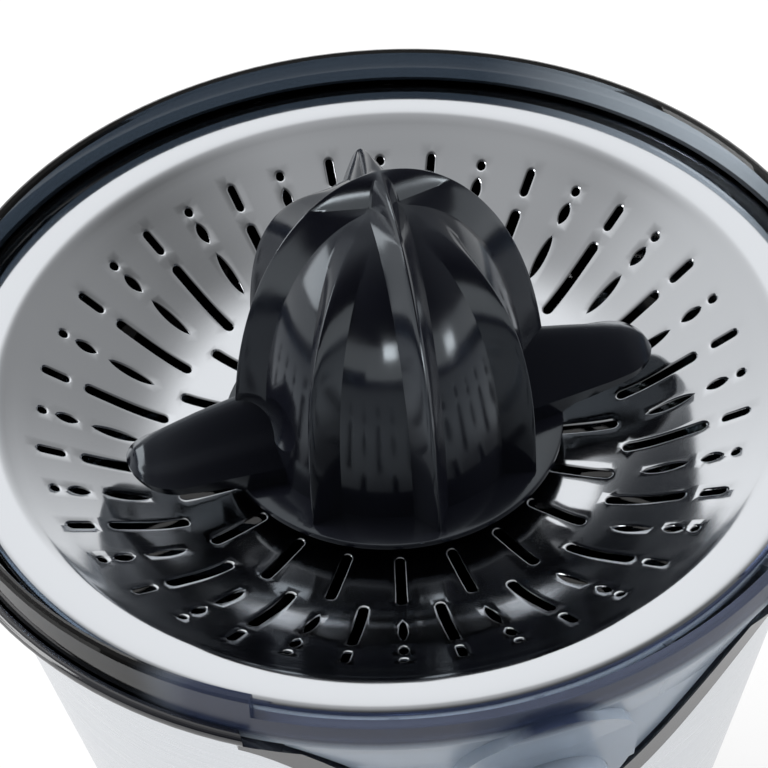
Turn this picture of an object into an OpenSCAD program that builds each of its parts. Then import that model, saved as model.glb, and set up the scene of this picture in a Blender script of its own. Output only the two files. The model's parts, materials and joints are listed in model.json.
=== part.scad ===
// Motor driven citrus press: tapered steel housing, smoke clear juice bowl with a front
// pouring spout, perforated steel strainer and a ribbed press cone with two wings.
// Millimetres. Z = 0 is the table, the axis of the cone is Z, the spout points to -Y.
// Heights of the upper parts are counted from the rim plane of the strainer.

/* [Overall] */
// Height of the strainer's rim above the table
rim_z = 190; // [184:1:204]
// Outer radius of the strainer's rim
strainer_r = 95; // [90:0.5:105]

/* [Housing] */
// Outer radius of the steel wall at its lower edge
foot_r = 62; // [61:0.5:66]
// Step from the upper edge of the steel wall out to the bowl's rim
flare_step = 5.1; // [4.8:0.1:5.4]
// Sheet thickness of the steel wall
steel_t = 1; // [0.8:0.1:1.2]
// Height of the steel wall's lower edge above the table
skirt_z = 8; // [6:0.5:10]
// Width of the black trim outside the bowl's rim
trim_band = 2.5; // [2.2:0.1:4]
// Half the width of the front notch at the trim
notch_half_w = 60; // [56:1:62]
// Depth of the front notch below its shoulders
notch_depth = 42; // [40:1:42]
// Width of the black border along the notch
border_w = 6.5; // [5.5:0.5:8]
// How far the border stands out from the steel
border_t = 3.5; // [2.8:0.1:4.5]

/* [Juice bowl] */
// Open channel between the strainer's rim and the bowl's rim
rim_channel = 5.5; // [4:0.1:7]
// Thickness of the bowl's rim
bowl_rim_t = 2.4; // [2.2:0.1:4]
// Height of the high rim above the strainer's rim
high_rim = 9.5; // [7:0.5:14]
// Height of the low rim over the spout above the strainer's rim
low_rim = 4; // [2:0.5:6]
// Half angle of the low rim on each side of the spout
window_half = 34; // [30:1:36]
// Wall thickness of the bowl
bowl_t = 2.2; // [1.8:0.1:2.4]
// Depth of the bowl's floor below the strainer's rim, at the wall
bowl_depth = 41.3; // [40.5:0.1:42]
// How much higher the floor is at the chimney
floor_fall = 3; // [1:0.5:5]
// Inner radius of the chimney round the drive shaft
chimney_r = 10.6; // [10.5:0.1:12]
// Number of webs that carry the strainer's rim
web_count = 20; // [8:1:30]

/* [Spout] */
// Inner radius of the spout tube
spout_r = 11.8; // [9:0.1:12]
// Distance from the axis to the mouth of the spout
spout_reach = 122; // [112:1:135]
// Outer radius of the arched boss where the spout leaves the bowl
boss_r = 20; // [17:0.5:21]
// Length of the tilting nozzle from its pivot
nozzle_len = 26; // [18:1:34]
// Resting slope of the nozzle
nozzle_slope = 32; // [20:1:45]

/* [Strainer] */
// Sheet thickness of the strainer
sheet_t = 0.8; // [0.6:0.05:1]
// Depth of the strainer's floor below its rim
dish_depth = 20; // [18:0.5:21]
// Number of slot rays of each kind
ray_count = 20; // [12:1:20]
// Width of the long slots
slot_w = 2.3; // [1.5:0.1:2.8]
// Angle of the first ray
strainer_turn = 10.6; // [0:0.1:18]

/* [Press cone] */
// Radius of the cone's flange
flange_r = 38.2; // [37:0.2:41]
// Radius of the domed body at the flange
dome_r = 30; // [29:0.5:32]
// Height of the domed body above the flange
dome_h = 67.5; // [62:0.5:69]
// Reach of the rib crests at the flange
crest_r = 36; // [34:0.5:37]
// Height of the tip above the flange
tip_h = 73.9; // [72:0.1:80]
// Height at which the four short ribs would meet
short_tip_h = 66; // [65:0.5:68]
// Half the width of a rib where it leaves the dome
rib_half = 3.9; // [2.5:0.1:4.5]
// Wall thickness of the dome
dome_t = 2.6; // [2:0.1:3.2]
// Distance from the axis to the tip of a wing
wing_r = 60; // [54:0.5:61]
// Angle of the ribs
cone_turn = -2; // [-90:0.1:90]
// Angle of the wings from the ribs
wing_lead = -2.6; // [-10:0.1:10]

/* [Drive] */
// Radius of the drive shaft
shaft_r = 4; // [3.6:0.1:4.2]
// Travel of the cone that starts the motor
press_travel = 3; // [2:0.5:3.5]
// Module of the output gear pair
out_module = 1.25; // [1.2:0.01:1.28]
// Teeth of the output gear
out_teeth = 48; // [46:1:49]
// Teeth of the small gear that drives the output gear
small_teeth = 12; // [12:1:13]
// Module of the motor's gear pair
motor_module = 1; // [0.98:0.01:1.02]
// Teeth of the large gear driven by the motor
large_teeth = 44; // [42:1:45]
// Teeth of the motor's pinion
pinion_teeth = 11; // [11:1:12]
// Radius of the motor can
can_r = 24; // [22:0.5:24.5]
// Length of the motor can
can_h = 54; // [44:1:60]
// Radius of the circle of posts that carry the gear frame
post_ring_r = 53; // [52:0.5:54]
// Radius of a post
post_r = 5; // [4:0.5:6]

/* [Fits] */
// Radial clearance of a shaft or pin in its bore
run_gap = 0.06; // [0.03:0.01:0.1]
// Gap between pieces that lie close and can be lifted apart
lift_gap = 0.3; // [0.2:0.05:0.4]

/* [Hidden] */
$fn = 96;

eps = 0.01;
arc_steps = 24;

// Radii that follow the strainer
bowl_r = strainer_r + rim_channel + bowl_rim_t;
trim_r = bowl_r + trim_band;
housing_r = bowl_r - flare_step;

// Housing
housing_top = rim_z - 9.3;
trim_top = rim_z - 0.4;
shoulder = 3;
steel_lap = 3;
trim_gap = 0.1;
function steel_r(z) = foot_r + (housing_r - foot_r) * (z - skirt_z) / (housing_top - skirt_z);
function notch_z(x) = rim_z - shoulder - notch_depth / 2 * (1 + cos(180 * x / notch_half_w));
function notch_slope(x) = notch_depth / 2 * sin(180 * x / notch_half_w) * PI / notch_half_w;
// A point of the notch outline, moved outward from the opening by w
function notch_point(x, w) =
    let (s = notch_slope(x), n = sqrt(1 + s * s))
    [x + s / n * w, notch_z(x) - w / n];
function notch_line(w, half = notch_half_w, steps = 40) =
    [for (i = [0:steps]) notch_point(-half + 2 * half * i / steps, w)];
function reversed(list) = [for (i = [len(list) - 1:-1:0]) list[i]];

// Bowl
bowl_gap = 0.6;
bowl_floor = rim_z - bowl_depth;
function bowl_out(z) = steel_r(z) - steel_t - bowl_gap;
flare_top = rim_z - 2.6;
flare_foot = rim_z - 9.6;
low_rim_z = rim_z + low_rim;
high_rim_z = rim_z + high_rim;
spout_t = 2.2;
spout_dip = 0.3;
spout_z = bowl_floor + spout_r - spout_dip;
spout_out_r = spout_r + spout_t;
spout_root = bowl_out(bowl_floor) - 4.5;
clear = [0.55, 0.62, 0.68, 0.5];
bib_t = 2.4;
bib_stand = 2.2;
boss_t = 3;
boss_z = rim_z - 20;
pivot_y = -(spout_reach - 4);
pivot_r = 2.5;
nozzle_t = 2;
nozzle_gap = 0.4;
nozzle_in_r = spout_out_r + nozzle_gap;
chimney_top = rim_z - 14;
chimney_t = 2.4;

// Deck and base
deck_top = bowl_floor - bowl_t - 2.5;
deck_t = 2.5;
tower_r = 10;
tower_top = deck_top + 14;
foot_h = 2;
ring_floor_t = 2;
plate_z = foot_h + ring_floor_t;
plate_t = 3;
plate_top = plate_z + plate_t;
screw_r = 1.5;
screw_head_r = 3;
post_angles = [0, 180, 240, 300];
gland_z = foot_h + 6.5;
gland_r = 3.6;

// Gear train
frame_top = deck_top - 57;
frame_t = 3;
out_pitch_r = out_module * out_teeth / 2;
small_pitch_r = out_module * small_teeth / 2;
large_pitch_r = motor_module * large_teeth / 2;
pinion_pitch_r = motor_module * pinion_teeth / 2;
idler_dist = out_pitch_r + small_pitch_r;
motor_dist = large_pitch_r + pinion_pitch_r;
motor_y = 38;
idler_angle = acos((idler_dist * idler_dist + motor_y * motor_y - motor_dist * motor_dist)
    / (2 * idler_dist * motor_y));
idler_x = idler_dist * sin(idler_angle);
idler_y = idler_dist * cos(idler_angle);
large_z = frame_top + 2;
large_h = 7;
out_z = large_z + large_h + 2;
out_h = 10;
hub_r = 9;
hub_top = out_z + out_h + 8;
cover_top = out_z + out_h + 6;
cover_t = 2;
idler_pin_r = 2.5;
rotor_shaft_r = 2;
can_top = frame_top - frame_t;
can_foot = can_top - can_h;
can_t = 1.5;
cap_t = 3;

// Shaft, spring and switch
bush_r = 7;
bush_foot = deck_top - deck_t - 6.2;
collar_r = 6.5;
collar_h = 3;
collar_foot = bush_foot - lift_gap - collar_h;
spring_wire_r = 0.6;
spring_r = 5.4;
spring_turns = 5;
shaft_foot = frame_top - 11;
shaft_neck_r = shaft_r * 0.85;
hex_foot = frame_top + press_travel + 0.3;
hex_top = collar_foot - 3;
shaft_top = rim_z + 24;
socket_hex_foot = rim_z - 12;
switch_top = shaft_foot - lift_gap - press_travel - 0.7;
switch_size = [20, 10, 12];

// Strainer and cone
floor_z = rim_z - dish_depth;
strainer_bore_r = chimney_r + chimney_t + 0.7;
flange_top = rim_z - 13.6;
flange_t = 1.6;
hub_out_r = 8.5;
hub_foot = chimney_top + press_travel + 1;
dome_power = 2.6;
rib_power = 2.2;
short_rib_power = 3;
function dome_at(h, r, top, power = dome_power) = r * sqrt(max(0, 1 - pow(max(h, 0) / top, power)));

// A ring of rectangular section
module ring(r_in, r_out, z0, z1) {
    difference() {
        translate([0, 0, z0]) cylinder(r = r_out, h = z1 - z0);
        translate([0, 0, z0 - 1]) cylinder(r = r_in, h = z1 - z0 + 2);
    }
}

// A wall that follows the steel, from d0 to d1 outside its outer face
module steel_shell(d0, d1, z0, z1) {
    rotate_extrude()
        polygon([[steel_r(z0) + d0, z0], [steel_r(z0) + d1, z0],
            [steel_r(z1) + d1, z1], [steel_r(z1) + d0, z1]]);
}

// An outline in the X-Z plane, extruded from the axis out through the front
module to_front(reach = 140) {
    rotate([90, 0, 0]) linear_extrude(height = reach) children();
}

module at_posts() {
    for (a = post_angles)
        rotate([0, 0, a]) translate([post_ring_r, 0, 0]) children();
}

// Rubber ring that the press stands on
module foot_ring() {
    color("dimgray") ring(foot_r - 12, foot_r - 3, 0, foot_h);
}

// Black ring round the foot of the steel wall, with its screw holes
module base_ring() {
    lip_top = skirt_z + 6;
    lip_in = steel_r(lip_top) + 0.2;
    color("black") difference() {
        rotate_extrude()
            polygon([[foot_r - 14, foot_h], [lip_in + 1, foot_h], [lip_in + 2, foot_h + 1],
                [lip_in + 2, lip_top - 1], [lip_in + 1, lip_top], [lip_in, lip_top],
                [lip_in, plate_z], [foot_r - 14, plate_z]]);
        at_posts() {
            translate([0, 0, foot_h - 1]) cylinder(r = screw_r + run_gap, h = 5);
            translate([0, 0, foot_h - 1]) cylinder(r = screw_head_r + 0.2, h = 2.5);
        }
        translate([0, foot_r, gland_z]) rotate([-90, 0, 0])
            cylinder(r = gland_r + run_gap, h = 20, center = true);
    }
}

// Strain relief for the supply lead, in the back of the base ring
module cord_gland() {
    lip = steel_r(skirt_z + 6) + 2.2;
    color("black") translate([0, 0, gland_z]) rotate([-90, 0, 0]) difference() {
        union() {
            translate([0, 0, lip - 5]) cylinder(r = gland_r, h = 6);
            translate([0, 0, lip]) cylinder(r = gland_r + 1.4, h = 2);
            translate([0, 0, lip + 2]) cylinder(r1 = gland_r, r2 = gland_r - 0.8, h = 12);
            for (i = [0:2])
                translate([0, 0, lip + 4.5 + 3 * i]) cylinder(r = gland_r + 0.2, h = 1.5);
        }
        translate([0, 0, lip - 6]) cylinder(r = 2.2, h = 30);
    }
}

// Base plate with the posts, the motor's cradle and the switch column
module base_plate() {
    color("dimgray") difference() {
        union() {
            translate([0, 0, plate_z]) cylinder(r = foot_r - 2.5, h = plate_t);
            at_posts() translate([0, 0, plate_z])
                cylinder(r = post_r, h = can_top - plate_z);
            translate([0, motor_y, 0])
                ring(can_r - 5, can_r - 2.9, plate_top - eps, can_foot - cap_t);
            column_h = switch_top - switch_size[2] - plate_top;
            translate([-switch_size[0] / 2 - 1, -switch_size[1] / 2, plate_top - eps])
                cube([switch_size[0] + 2, switch_size[1], column_h + eps]);
        }
        at_posts() translate([0, 0, 0]) cylinder(r = screw_r + run_gap, h = 22);
        for (i = [-3:3])
            translate([i * 6 - 1.25, -46, 0]) cube([2.5, 28, 20]);
    }
}

// Four screws that hold the base together from below
module base_screws() {
    color("silver") at_posts() {
        translate([0, 0, foot_h + 0.1]) cylinder(r = screw_head_r, h = 1.4);
        translate([0, 0, foot_h + 0.1]) cylinder(r = screw_r, h = 18);
    }
}

// The tapered steel wall with the front notch
module steel_housing() {
    color("lightgray") difference() {
        steel_shell(-steel_t, 0, skirt_z, housing_top);
        to_front() polygon(concat(notch_line(steel_lap),
            [[notch_half_w, rim_z + 20], [-notch_half_w, rim_z + 20]]));
        translate([0, foot_r, gland_z]) rotate([-90, 0, 0])
            cylinder(r = gland_r + 0.4, h = 12, center = true);
    }
}

// Black trim on the upper edge, with the border that frames the notch
module rim_trim() {
    seat_r = bowl_r + 0.4;
    lap_z = housing_top + 0.1;
    lap_r = housing_r + trim_gap;
    step_r = housing_r - 0.8;
    crown = trim_r - seat_r - 0.4;
    crown_drop = 1.6;
    color("black") {
        difference() {
            rotate_extrude()
                polygon(concat(
                    [[seat_r, trim_top], [seat_r, rim_z - 2.4], [step_r, lap_z],
                        [lap_r, lap_z], [lap_r, lap_z - 1], [housing_r + 1, lap_z - 1]],
                    [for (i = [0:arc_steps / 2])
                        let (a = -60 + 150 * i / (arc_steps / 2))
                        [trim_r - crown + crown * cos(a), trim_top - crown_drop + crown_drop * sin(a)]]));
            to_front() polygon(concat(notch_line(0),
                [[notch_half_w, rim_z + 20], [-notch_half_w, rim_z + 20]]));
        }
        difference() {
            union() {
                border_band(0, border_w, trim_gap, border_t);
                border_band(0, steel_lap - 0.3, -steel_t + 0.1, border_t - 0.5);
            }
            rotate_extrude() bowl_envelope(0.35);
        }
    }
}

// Part of a tapered wall between two lines that run along the notch
module border_band(w0, w1, d0, d1) {
    intersection() {
        to_front() polygon(concat(notch_line(w0), reversed(notch_line(w1))));
        steel_shell(d0, d1, rim_z - shoulder - notch_depth - border_w - 4, rim_z + 1);
    }
}

// Deck that closes the motor space under the bowl, with the shaft's tower
module deck() {
    deck_r = steel_r(deck_top - deck_t) - steel_t - 0.3;
    color("black") difference() {
        union() {
            translate([0, 0, deck_top - deck_t]) cylinder(r = deck_r, h = deck_t);
            ring(deck_r - 3, deck_r - 1.2, deck_top - deck_t - 6, deck_top - deck_t + eps);
            translate([0, 0, deck_top - deck_t]) cylinder(r = tower_r, h = tower_top - deck_top + deck_t);
        }
        translate([0, 0, deck_top - 20]) cylinder(r = bush_r, h = 60);
        at_posts() {
            translate([0, 0, deck_top - 10]) cylinder(r = screw_r + run_gap, h = 20);
            translate([0, 0, deck_top - 1.5]) cylinder(r = screw_head_r + 0.2, h = 4);
        }
    }
}

// Four screws from the deck into the posts of the gear frame
module deck_screws() {
    color("silver") at_posts() {
        translate([0, 0, deck_top - 1.4]) cylinder(r = screw_head_r, h = 1.3);
        translate([0, 0, deck_top - 14]) cylinder(r = screw_r, h = 13);
    }
}

// Bush that guides the drive shaft in the tower
module shaft_bush() {
    color("tan") union() {
        ring(shaft_r + run_gap, bush_r, bush_foot, tower_top + 1.5);
        ring(shaft_r + run_gap, bush_r + 2, bush_foot, deck_top - deck_t);
    }
}

// Frame that carries the gears, the motor and, on its posts, the deck
module gear_frame() {
    color("gainsboro") difference() {
        union() {
            translate([0, 0, can_top]) cylinder(r = post_ring_r + post_r + 1, h = frame_t);
            at_posts() translate([0, 0, can_top])
                cylinder(r = post_r, h = deck_top - deck_t - can_top);
        }
        translate([0, 0, can_top - 1]) cylinder(r = shaft_neck_r + run_gap, h = frame_t + 2);
        translate([idler_x, idler_y, can_top - 1])
            cylinder(r = idler_pin_r, h = frame_t + 2);
        translate([0, motor_y, can_top - 1])
            cylinder(r = pinion_pitch_r + 2.5, h = frame_t + 2);
        for (s = [-1, 1])
            translate([s * 17, motor_y, can_top - 1]) cylinder(r = screw_r + run_gap, h = frame_t + 2);
        at_posts() translate([0, 0, deck_top - 16]) cylinder(r = screw_r + run_gap, h = 20);
    }
}

// Plan of the gear cover, grown by w
module cover_plan(w) {
    circle(r = out_pitch_r + 2.5 + w);
    translate([idler_x, idler_y]) circle(r = large_pitch_r + 2.2 + w);
    translate([0, motor_y]) circle(r = pinion_pitch_r + 3.5 + w);
}

// Cover over the gears that carries the upper ends of the hub and the idler pin
module gear_cover() {
    color("gainsboro") difference() {
        translate([0, 0, frame_top]) linear_extrude(height = cover_top - frame_top)
            cover_plan(cover_t);
        translate([0, 0, frame_top - 1]) linear_extrude(height = cover_top - frame_top - cover_t + 1)
            cover_plan(0);
        translate([0, 0, frame_top]) cylinder(r = hub_r + run_gap, h = 60);
        translate([idler_x, idler_y, frame_top]) cylinder(r = idler_pin_r, h = 60);
    }
}

// Fixed steel pin that the compound gear turns on
module idler_pin() {
    color("silver") translate([idler_x, idler_y, can_top])
        cylinder(r = idler_pin_r, h = cover_top - can_top);
}

// Involute tooth profile
pressure = 20;
function inv_deg(a) = tan(a) * 180 / PI - a;
function tooth_half(r, rp, teeth, slack) =
    let (rb = rp * cos(pressure), a = acos(min(1, rb / max(r, rb))))
    90 / teeth - slack / rp * 90 / PI + inv_deg(pressure) - inv_deg(a);
function tooth_points(m, teeth, turn) =
    let (rp = m * teeth / 2, rr = rp - 1.2 * m, ra = rp + 0.9 * m, flank = 4, slack = 0.16 * m)
    concat(
        [for (i = [0:flank])
            let (r = rr + (ra - rr) * i / flank, a = turn - tooth_half(r, rp, teeth, slack))
            [r * cos(a), r * sin(a)]],
        [for (i = [flank:-1:0])
            let (r = rr + (ra - rr) * i / flank, a = turn + tooth_half(r, rp, teeth, slack))
            [r * cos(a), r * sin(a)]]);
module gear(m, teeth, h, turn = 0) {
    linear_extrude(height = h)
        polygon([for (k = [0:teeth - 1]) each tooth_points(m, teeth, turn + 360 * k / teeth)]);
}

// Rotation that puts a tooth gap of a gear on the line to its partner's tooth
idler_dir = atan2(idler_y, idler_x);
motor_dir = atan2(motor_y - idler_y, -idler_x);

// Motor shaft with its armature and pinion
module motor_rotor() {
    color("silver") translate([0, motor_y, 0]) {
        translate([0, 0, can_foot - cap_t + 1.5])
            cylinder(r = rotor_shaft_r, h = large_z + large_h + 1 - can_foot + cap_t - 1.5);
        translate([0, 0, can_foot + 6]) cylinder(r = can_r - 7, h = can_h - 16);
        translate([0, 0, large_z - 0.5])
            gear(motor_module, pinion_teeth, large_h + 1, motor_dir + 180 + 180 / pinion_teeth);
    }
}

// Gear driven by the motor, with the small gear that drives the output gear
module compound_gear() {
    color("ivory") translate([idler_x, idler_y, 0]) difference() {
        union() {
            translate([0, 0, large_z]) gear(motor_module, large_teeth, large_h, motor_dir);
            translate([0, 0, large_z + large_h - eps])
                gear(out_module, small_teeth, out_h + 3, idler_dir + 180);
            translate([0, 0, frame_top + 0.2]) cylinder(r = 5, h = 4);
        }
        translate([0, 0, frame_top - 1]) cylinder(r = idler_pin_r + run_gap, h = 60);
    }
}

// Large gear that turns the shaft through its six sided bore
module output_gear() {
    color("ivory") difference() {
        union() {
            translate([0, 0, out_z])
                gear(out_module, out_teeth, out_h, idler_dir + 180 / out_teeth);
            translate([0, 0, frame_top + 0.3]) cylinder(r = hub_r, h = hub_top - frame_top - 0.3);
        }
        translate([0, 0, frame_top - 1]) cylinder(r = shaft_r + run_gap, h = 80, $fn = 6);
    }
}

// Shaft from the switch up into the cone: six sided in the gear and at the top
module drive_shaft() {
    color("silver") union() {
        translate([0, 0, shaft_foot]) cylinder(r = shaft_neck_r, h = hex_foot - shaft_foot + 1);
        translate([0, 0, hex_foot]) cylinder(r = shaft_r, h = hex_top - hex_foot, $fn = 6);
        translate([0, 0, hex_top - 1]) cylinder(r = shaft_r, h = socket_hex_foot - hex_top + 1);
        translate([0, 0, collar_foot]) cylinder(r = collar_r, h = collar_h);
        translate([0, 0, socket_hex_foot - 1])
            cylinder(r = shaft_r, h = shaft_top - socket_hex_foot + 1, $fn = 6);
    }
}

// Point on the spring's wire: t counts turns, a is the angle round the wire
function spring_point(t, a, rise) =
    let (r = spring_r + spring_wire_r * cos(a))
    [r * cos(360 * t), r * sin(360 * t), rise * t + spring_wire_r * sin(a)];

// Helical spring between the gear's hub and the shaft's collar
module return_spring() {
    sides = 8;
    rings = spring_turns * 14;
    clear = collar_foot - hub_top - 0.6;
    rise = (clear - 2 * spring_wire_r) / spring_turns;
    points = [for (i = [0:rings]) for (k = [0:sides - 1])
        spring_point(i / 14, 360 * k / sides, rise)];
    last = rings * sides;
    color("silver") translate([0, 0, hub_top + 0.3 + spring_wire_r])
        polyhedron(points, concat(
            [[for (k = [0:sides - 1]) k]],
            [for (i = [0:rings - 1]) for (k = [0:sides - 1])
                let (n = (k + 1) % sides, a = i * sides)
                [a + k, a + sides + k, a + sides + n, a + n]],
            [[for (k = [sides - 1:-1:0]) last + k]]));
}

// Switch under the shaft
module switch_body() {
    color("black") difference() {
        translate([-switch_size[0] / 2, -switch_size[1] / 2 + 1, switch_top - switch_size[2]])
            cube([switch_size[0], switch_size[1] - 2, switch_size[2]]);
        translate([0, 0, switch_top - 7]) cylinder(r = 2.5 + run_gap, h = 10);
    }
}

// Button of the switch, pushed by the shaft
module switch_plunger() {
    color("red") translate([0, 0, switch_top - 7 + press_travel + 0.3])
        cylinder(r = 2.5, h = shaft_foot - lift_gap - switch_top + 7 - press_travel - 0.3);
}

// Motor can, open at the foot
module motor_can() {
    color("silver") translate([0, motor_y, 0]) difference() {
        translate([0, 0, can_foot]) cylinder(r = can_r, h = can_h);
        translate([0, 0, can_foot - 1]) cylinder(r = can_r - can_t, h = can_h - 3);
        translate([0, 0, can_foot]) cylinder(r = rotor_shaft_r + run_gap, h = can_h + 1);
        for (s = [-1, 1])
            translate([s * 17, 0, can_foot]) cylinder(r = screw_r + run_gap, h = can_h + 1);
    }
}

// Cap that closes the motor and holds the lower end of its shaft
module motor_cap() {
    color("dimgray") translate([0, motor_y, 0]) difference() {
        translate([0, 0, can_foot - cap_t]) cylinder(r = can_r, h = cap_t);
        translate([0, 0, can_foot - cap_t + 1.5]) cylinder(r = rotor_shaft_r + run_gap, h = cap_t);
    }
}

// Two screws that hang the motor from the gear frame
module motor_screws() {
    color("silver") for (s = [-1, 1])
        translate([s * 17, motor_y, 0]) {
            translate([0, 0, frame_top]) cylinder(r = screw_head_r - 0.4, h = 1.3);
            translate([0, 0, can_top - 2.5]) cylinder(r = screw_r, h = frame_t + 3);
        }
}

// Section of the bowl: floor, wall, conical flare and rim
module bowl_section() {
    wall_foot = bowl_floor - bowl_t;
    in_r = bowl_r - bowl_rim_t;
    round = 1.2;
    polygon([
        [chimney_r, bowl_floor + floor_fall - bowl_t],
        [bowl_out(wall_foot) - 3, wall_foot],
        [bowl_out(wall_foot + 2) - 0.6, wall_foot + 0.6],
        [bowl_out(wall_foot + 3), wall_foot + 3],
        [bowl_out(flare_foot), flare_foot],
        [bowl_r, flare_top],
        [bowl_r, high_rim_z - round],
        [bowl_r - 0.35 * round, high_rim_z - 0.35 * round],
        [bowl_r - round, high_rim_z],
        [in_r + round, high_rim_z],
        [in_r + 0.35 * round, high_rim_z - 0.35 * round],
        [in_r, high_rim_z - round],
        [in_r, flare_top + 1],
        [bowl_out(flare_foot) - bowl_t, flare_foot + 1.4],
        [bowl_out(bowl_floor + 3) - bowl_t, bowl_floor + 3],
        [bowl_out(bowl_floor) - bowl_t - 2.4, bowl_floor],
        [chimney_r + chimney_t + 4, bowl_floor + floor_fall],
        [chimney_r + chimney_t, bowl_floor + floor_fall + 4],
        [chimney_r + chimney_t - 0.4, chimney_top],
        [chimney_r, chimney_top]
    ]);
}

// Section of the front panel that fills the notch
// Room that the bowl's flared rim takes, with a gap round it
module bowl_envelope(gap) {
    low = flare_foot - 12;
    polygon([[0, low], [bowl_out(low) + gap, low], [bowl_out(flare_foot) + gap, flare_foot],
        [bowl_r + gap, flare_top], [bowl_r + gap, rim_z + 20], [0, rim_z + 20]]);
}
module bib_section(extra = 0, t = bib_t) {
    top = rim_z + extra;
    foot = rim_z - shoulder - notch_depth;
    bend = rim_z - 12;
    lip_r = bowl_r - 0.4;
    polygon([
        [lip_r + extra, top], [lip_r + extra, flare_top],
        [steel_r(bend) + bib_stand + extra, bend],
        [steel_r(foot) + bib_stand + extra, foot],
        [steel_r(foot) + bib_stand - t, foot],
        [steel_r(bend) + bib_stand - t, bend],
        [lip_r - t, flare_top], [lip_r - t, top]
    ]);
}

// Outline of the front panel inside the notch
module bib_outline(gap) {
    half = notch_half_w - 8;
    polygon(concat(notch_line(-gap, half),
        [[half, low_rim_z], [-half, low_rim_z]]));
}

// Arched outline of the boss
module boss_outline(r) {
    translate([0, boss_z]) circle(r = r);
    translate([-r, boss_z - 7]) square([2 * r, 7]);
}

module spout_axis(z = spout_z) {
    translate([0, 0, z]) rotate([90, 0, 0]) children();
}

// Clear bowl that catches the juice and leads it to the spout
module juice_bowl() {
    color(clear) difference() {
        union() {
            difference() {
                rotate_extrude() bowl_section();
                translate([0, 0, low_rim_z]) linear_extrude(height = 30)
                    polygon([[0, 0], for (a = [-window_half, 0, window_half])
                        [200 * sin(a), -200 * cos(a)]]);
            }
            intersection() {
                rotate_extrude() bib_section();
                to_front() bib_outline(0.7);
            }
            intersection() {
                rotate_extrude() bib_section(boss_t, bib_t - 1);
                to_front() boss_outline(boss_r);
                to_front() bib_outline(0.9);
            }
        }
        spout_axis() translate([0, 0, spout_root - 1])
            cylinder(r = spout_out_r + run_gap, h = 60);
    }
}

// Radial webs in the channel round the strainer, on a thin band that follows the flare
module bowl_webs() {
    in_r = bowl_r - bowl_rim_t;
    foot = [bowl_out(flare_foot) - bowl_t, flare_foot + 1.4];
    head = [in_r, flare_top + 1];
    web_r = strainer_r - 3.5;
    top = flare_top + 0.8;
    color(clear) union() {
        rotate_extrude() polygon([foot - [0.15, 0], head - [0.15, 0],
            head - [1.15, 0], foot - [1.15, 0]]);
        for (k = [0:web_count - 1])
            rotate([0, 0, -90 + 360 * k / web_count]) rotate([90, 0, 0])
                linear_extrude(height = 2, center = true)
                    polygon([[web_r, foot[1] - 1], foot + [-0.6, 0.3],
                        [in_r - 0.7, top], [web_r, top]]);
    }
}

// Spout tube through the bowl's wall and boss, with the pins that carry the nozzle
module spout_tube() {
    color(clear) difference() {
        union() {
            spout_axis() translate([0, 0, spout_root])
                cylinder(r = spout_out_r, h = spout_reach - spout_root);
            for (s = [-1, 1])
                translate([s * spout_out_r, pivot_y, spout_z]) rotate([0, s * 90, 0])
                    translate([0, 0, -1]) cylinder(r = pivot_r, h = nozzle_t + nozzle_gap + 1);
        }
        translate([0, 0, bowl_floor]) cylinder(r1 = bowl_out(bowl_floor) - bowl_t,
            r2 = bowl_out(bowl_floor + 40) - bowl_t, h = 40);
        spout_axis() translate([0, 0, spout_root - 5]) cylinder(r = spout_r, h = 80);
        translate([-40, -spout_reach - 10, spout_z]) rotate([-nozzle_slope, 0, 0])
            translate([0, -10, -40]) cube([80, 10, 90]);
    }
}

// Trough that tilts on the spout: down to pour, up to stop the drip
module tilting_nozzle() {
    out_r = nozzle_in_r + nozzle_t;
    color(clear) translate([0, pivot_y, spout_z]) difference() {
        union() {
            rotate([nozzle_slope, 0, 0]) rotate([90, 0, 0])
                cylinder(r = out_r, h = nozzle_len);
            rotate([90, 0, 0]) cylinder(r = out_r, h = 4);
            for (s = [-1, 1])
                translate([s * (nozzle_in_r + nozzle_t / 2), 0, 0]) rotate([0, 90, 0])
                    cylinder(r = pivot_r + 2, h = nozzle_t, center = true);
        }
        rotate([nozzle_slope, 0, 0]) rotate([90, 0, 0])
            translate([0, 0, -30]) cylinder(r = nozzle_in_r, h = nozzle_len + 60);
        rotate([90, 0, 0]) cylinder(r = nozzle_in_r, h = 60, center = true);
        rotate([nozzle_slope, 0, 0]) translate([-50, -nozzle_len - 1, pivot_r + 2])
            cube([100, nozzle_len + 20, 60]);
        translate([-50, -10, pivot_r + 2]) cube([100, 60, 60]);
        rotate([0, 90, 0]) cylinder(r = pivot_r + run_gap, h = 60, center = true);
    }
}

// Slot with round ends, lying along a ray from r0 to r1
module slot(r0, r1, w) {
    translate([r0 + w / 2, -w / 2]) square([r1 - r0 - w, w]);
    for (r = [r0 + w / 2, r1 - w / 2]) translate([r, 0]) circle(d = w, $fn = 24);
}

// Slot with pointed ends: two arcs of equal radius
module lens_slot(r0, r1, w) {
    half = (r1 - r0) / 2;
    arc_r = (half * half + w * w / 4) / w;
    translate([(r0 + r1) / 2, 0]) intersection() {
        translate([0, arc_r - w / 2]) circle(r = arc_r, $fn = 160);
        translate([0, w / 2 - arc_r]) circle(r = arc_r, $fn = 160);
    }
}

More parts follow.
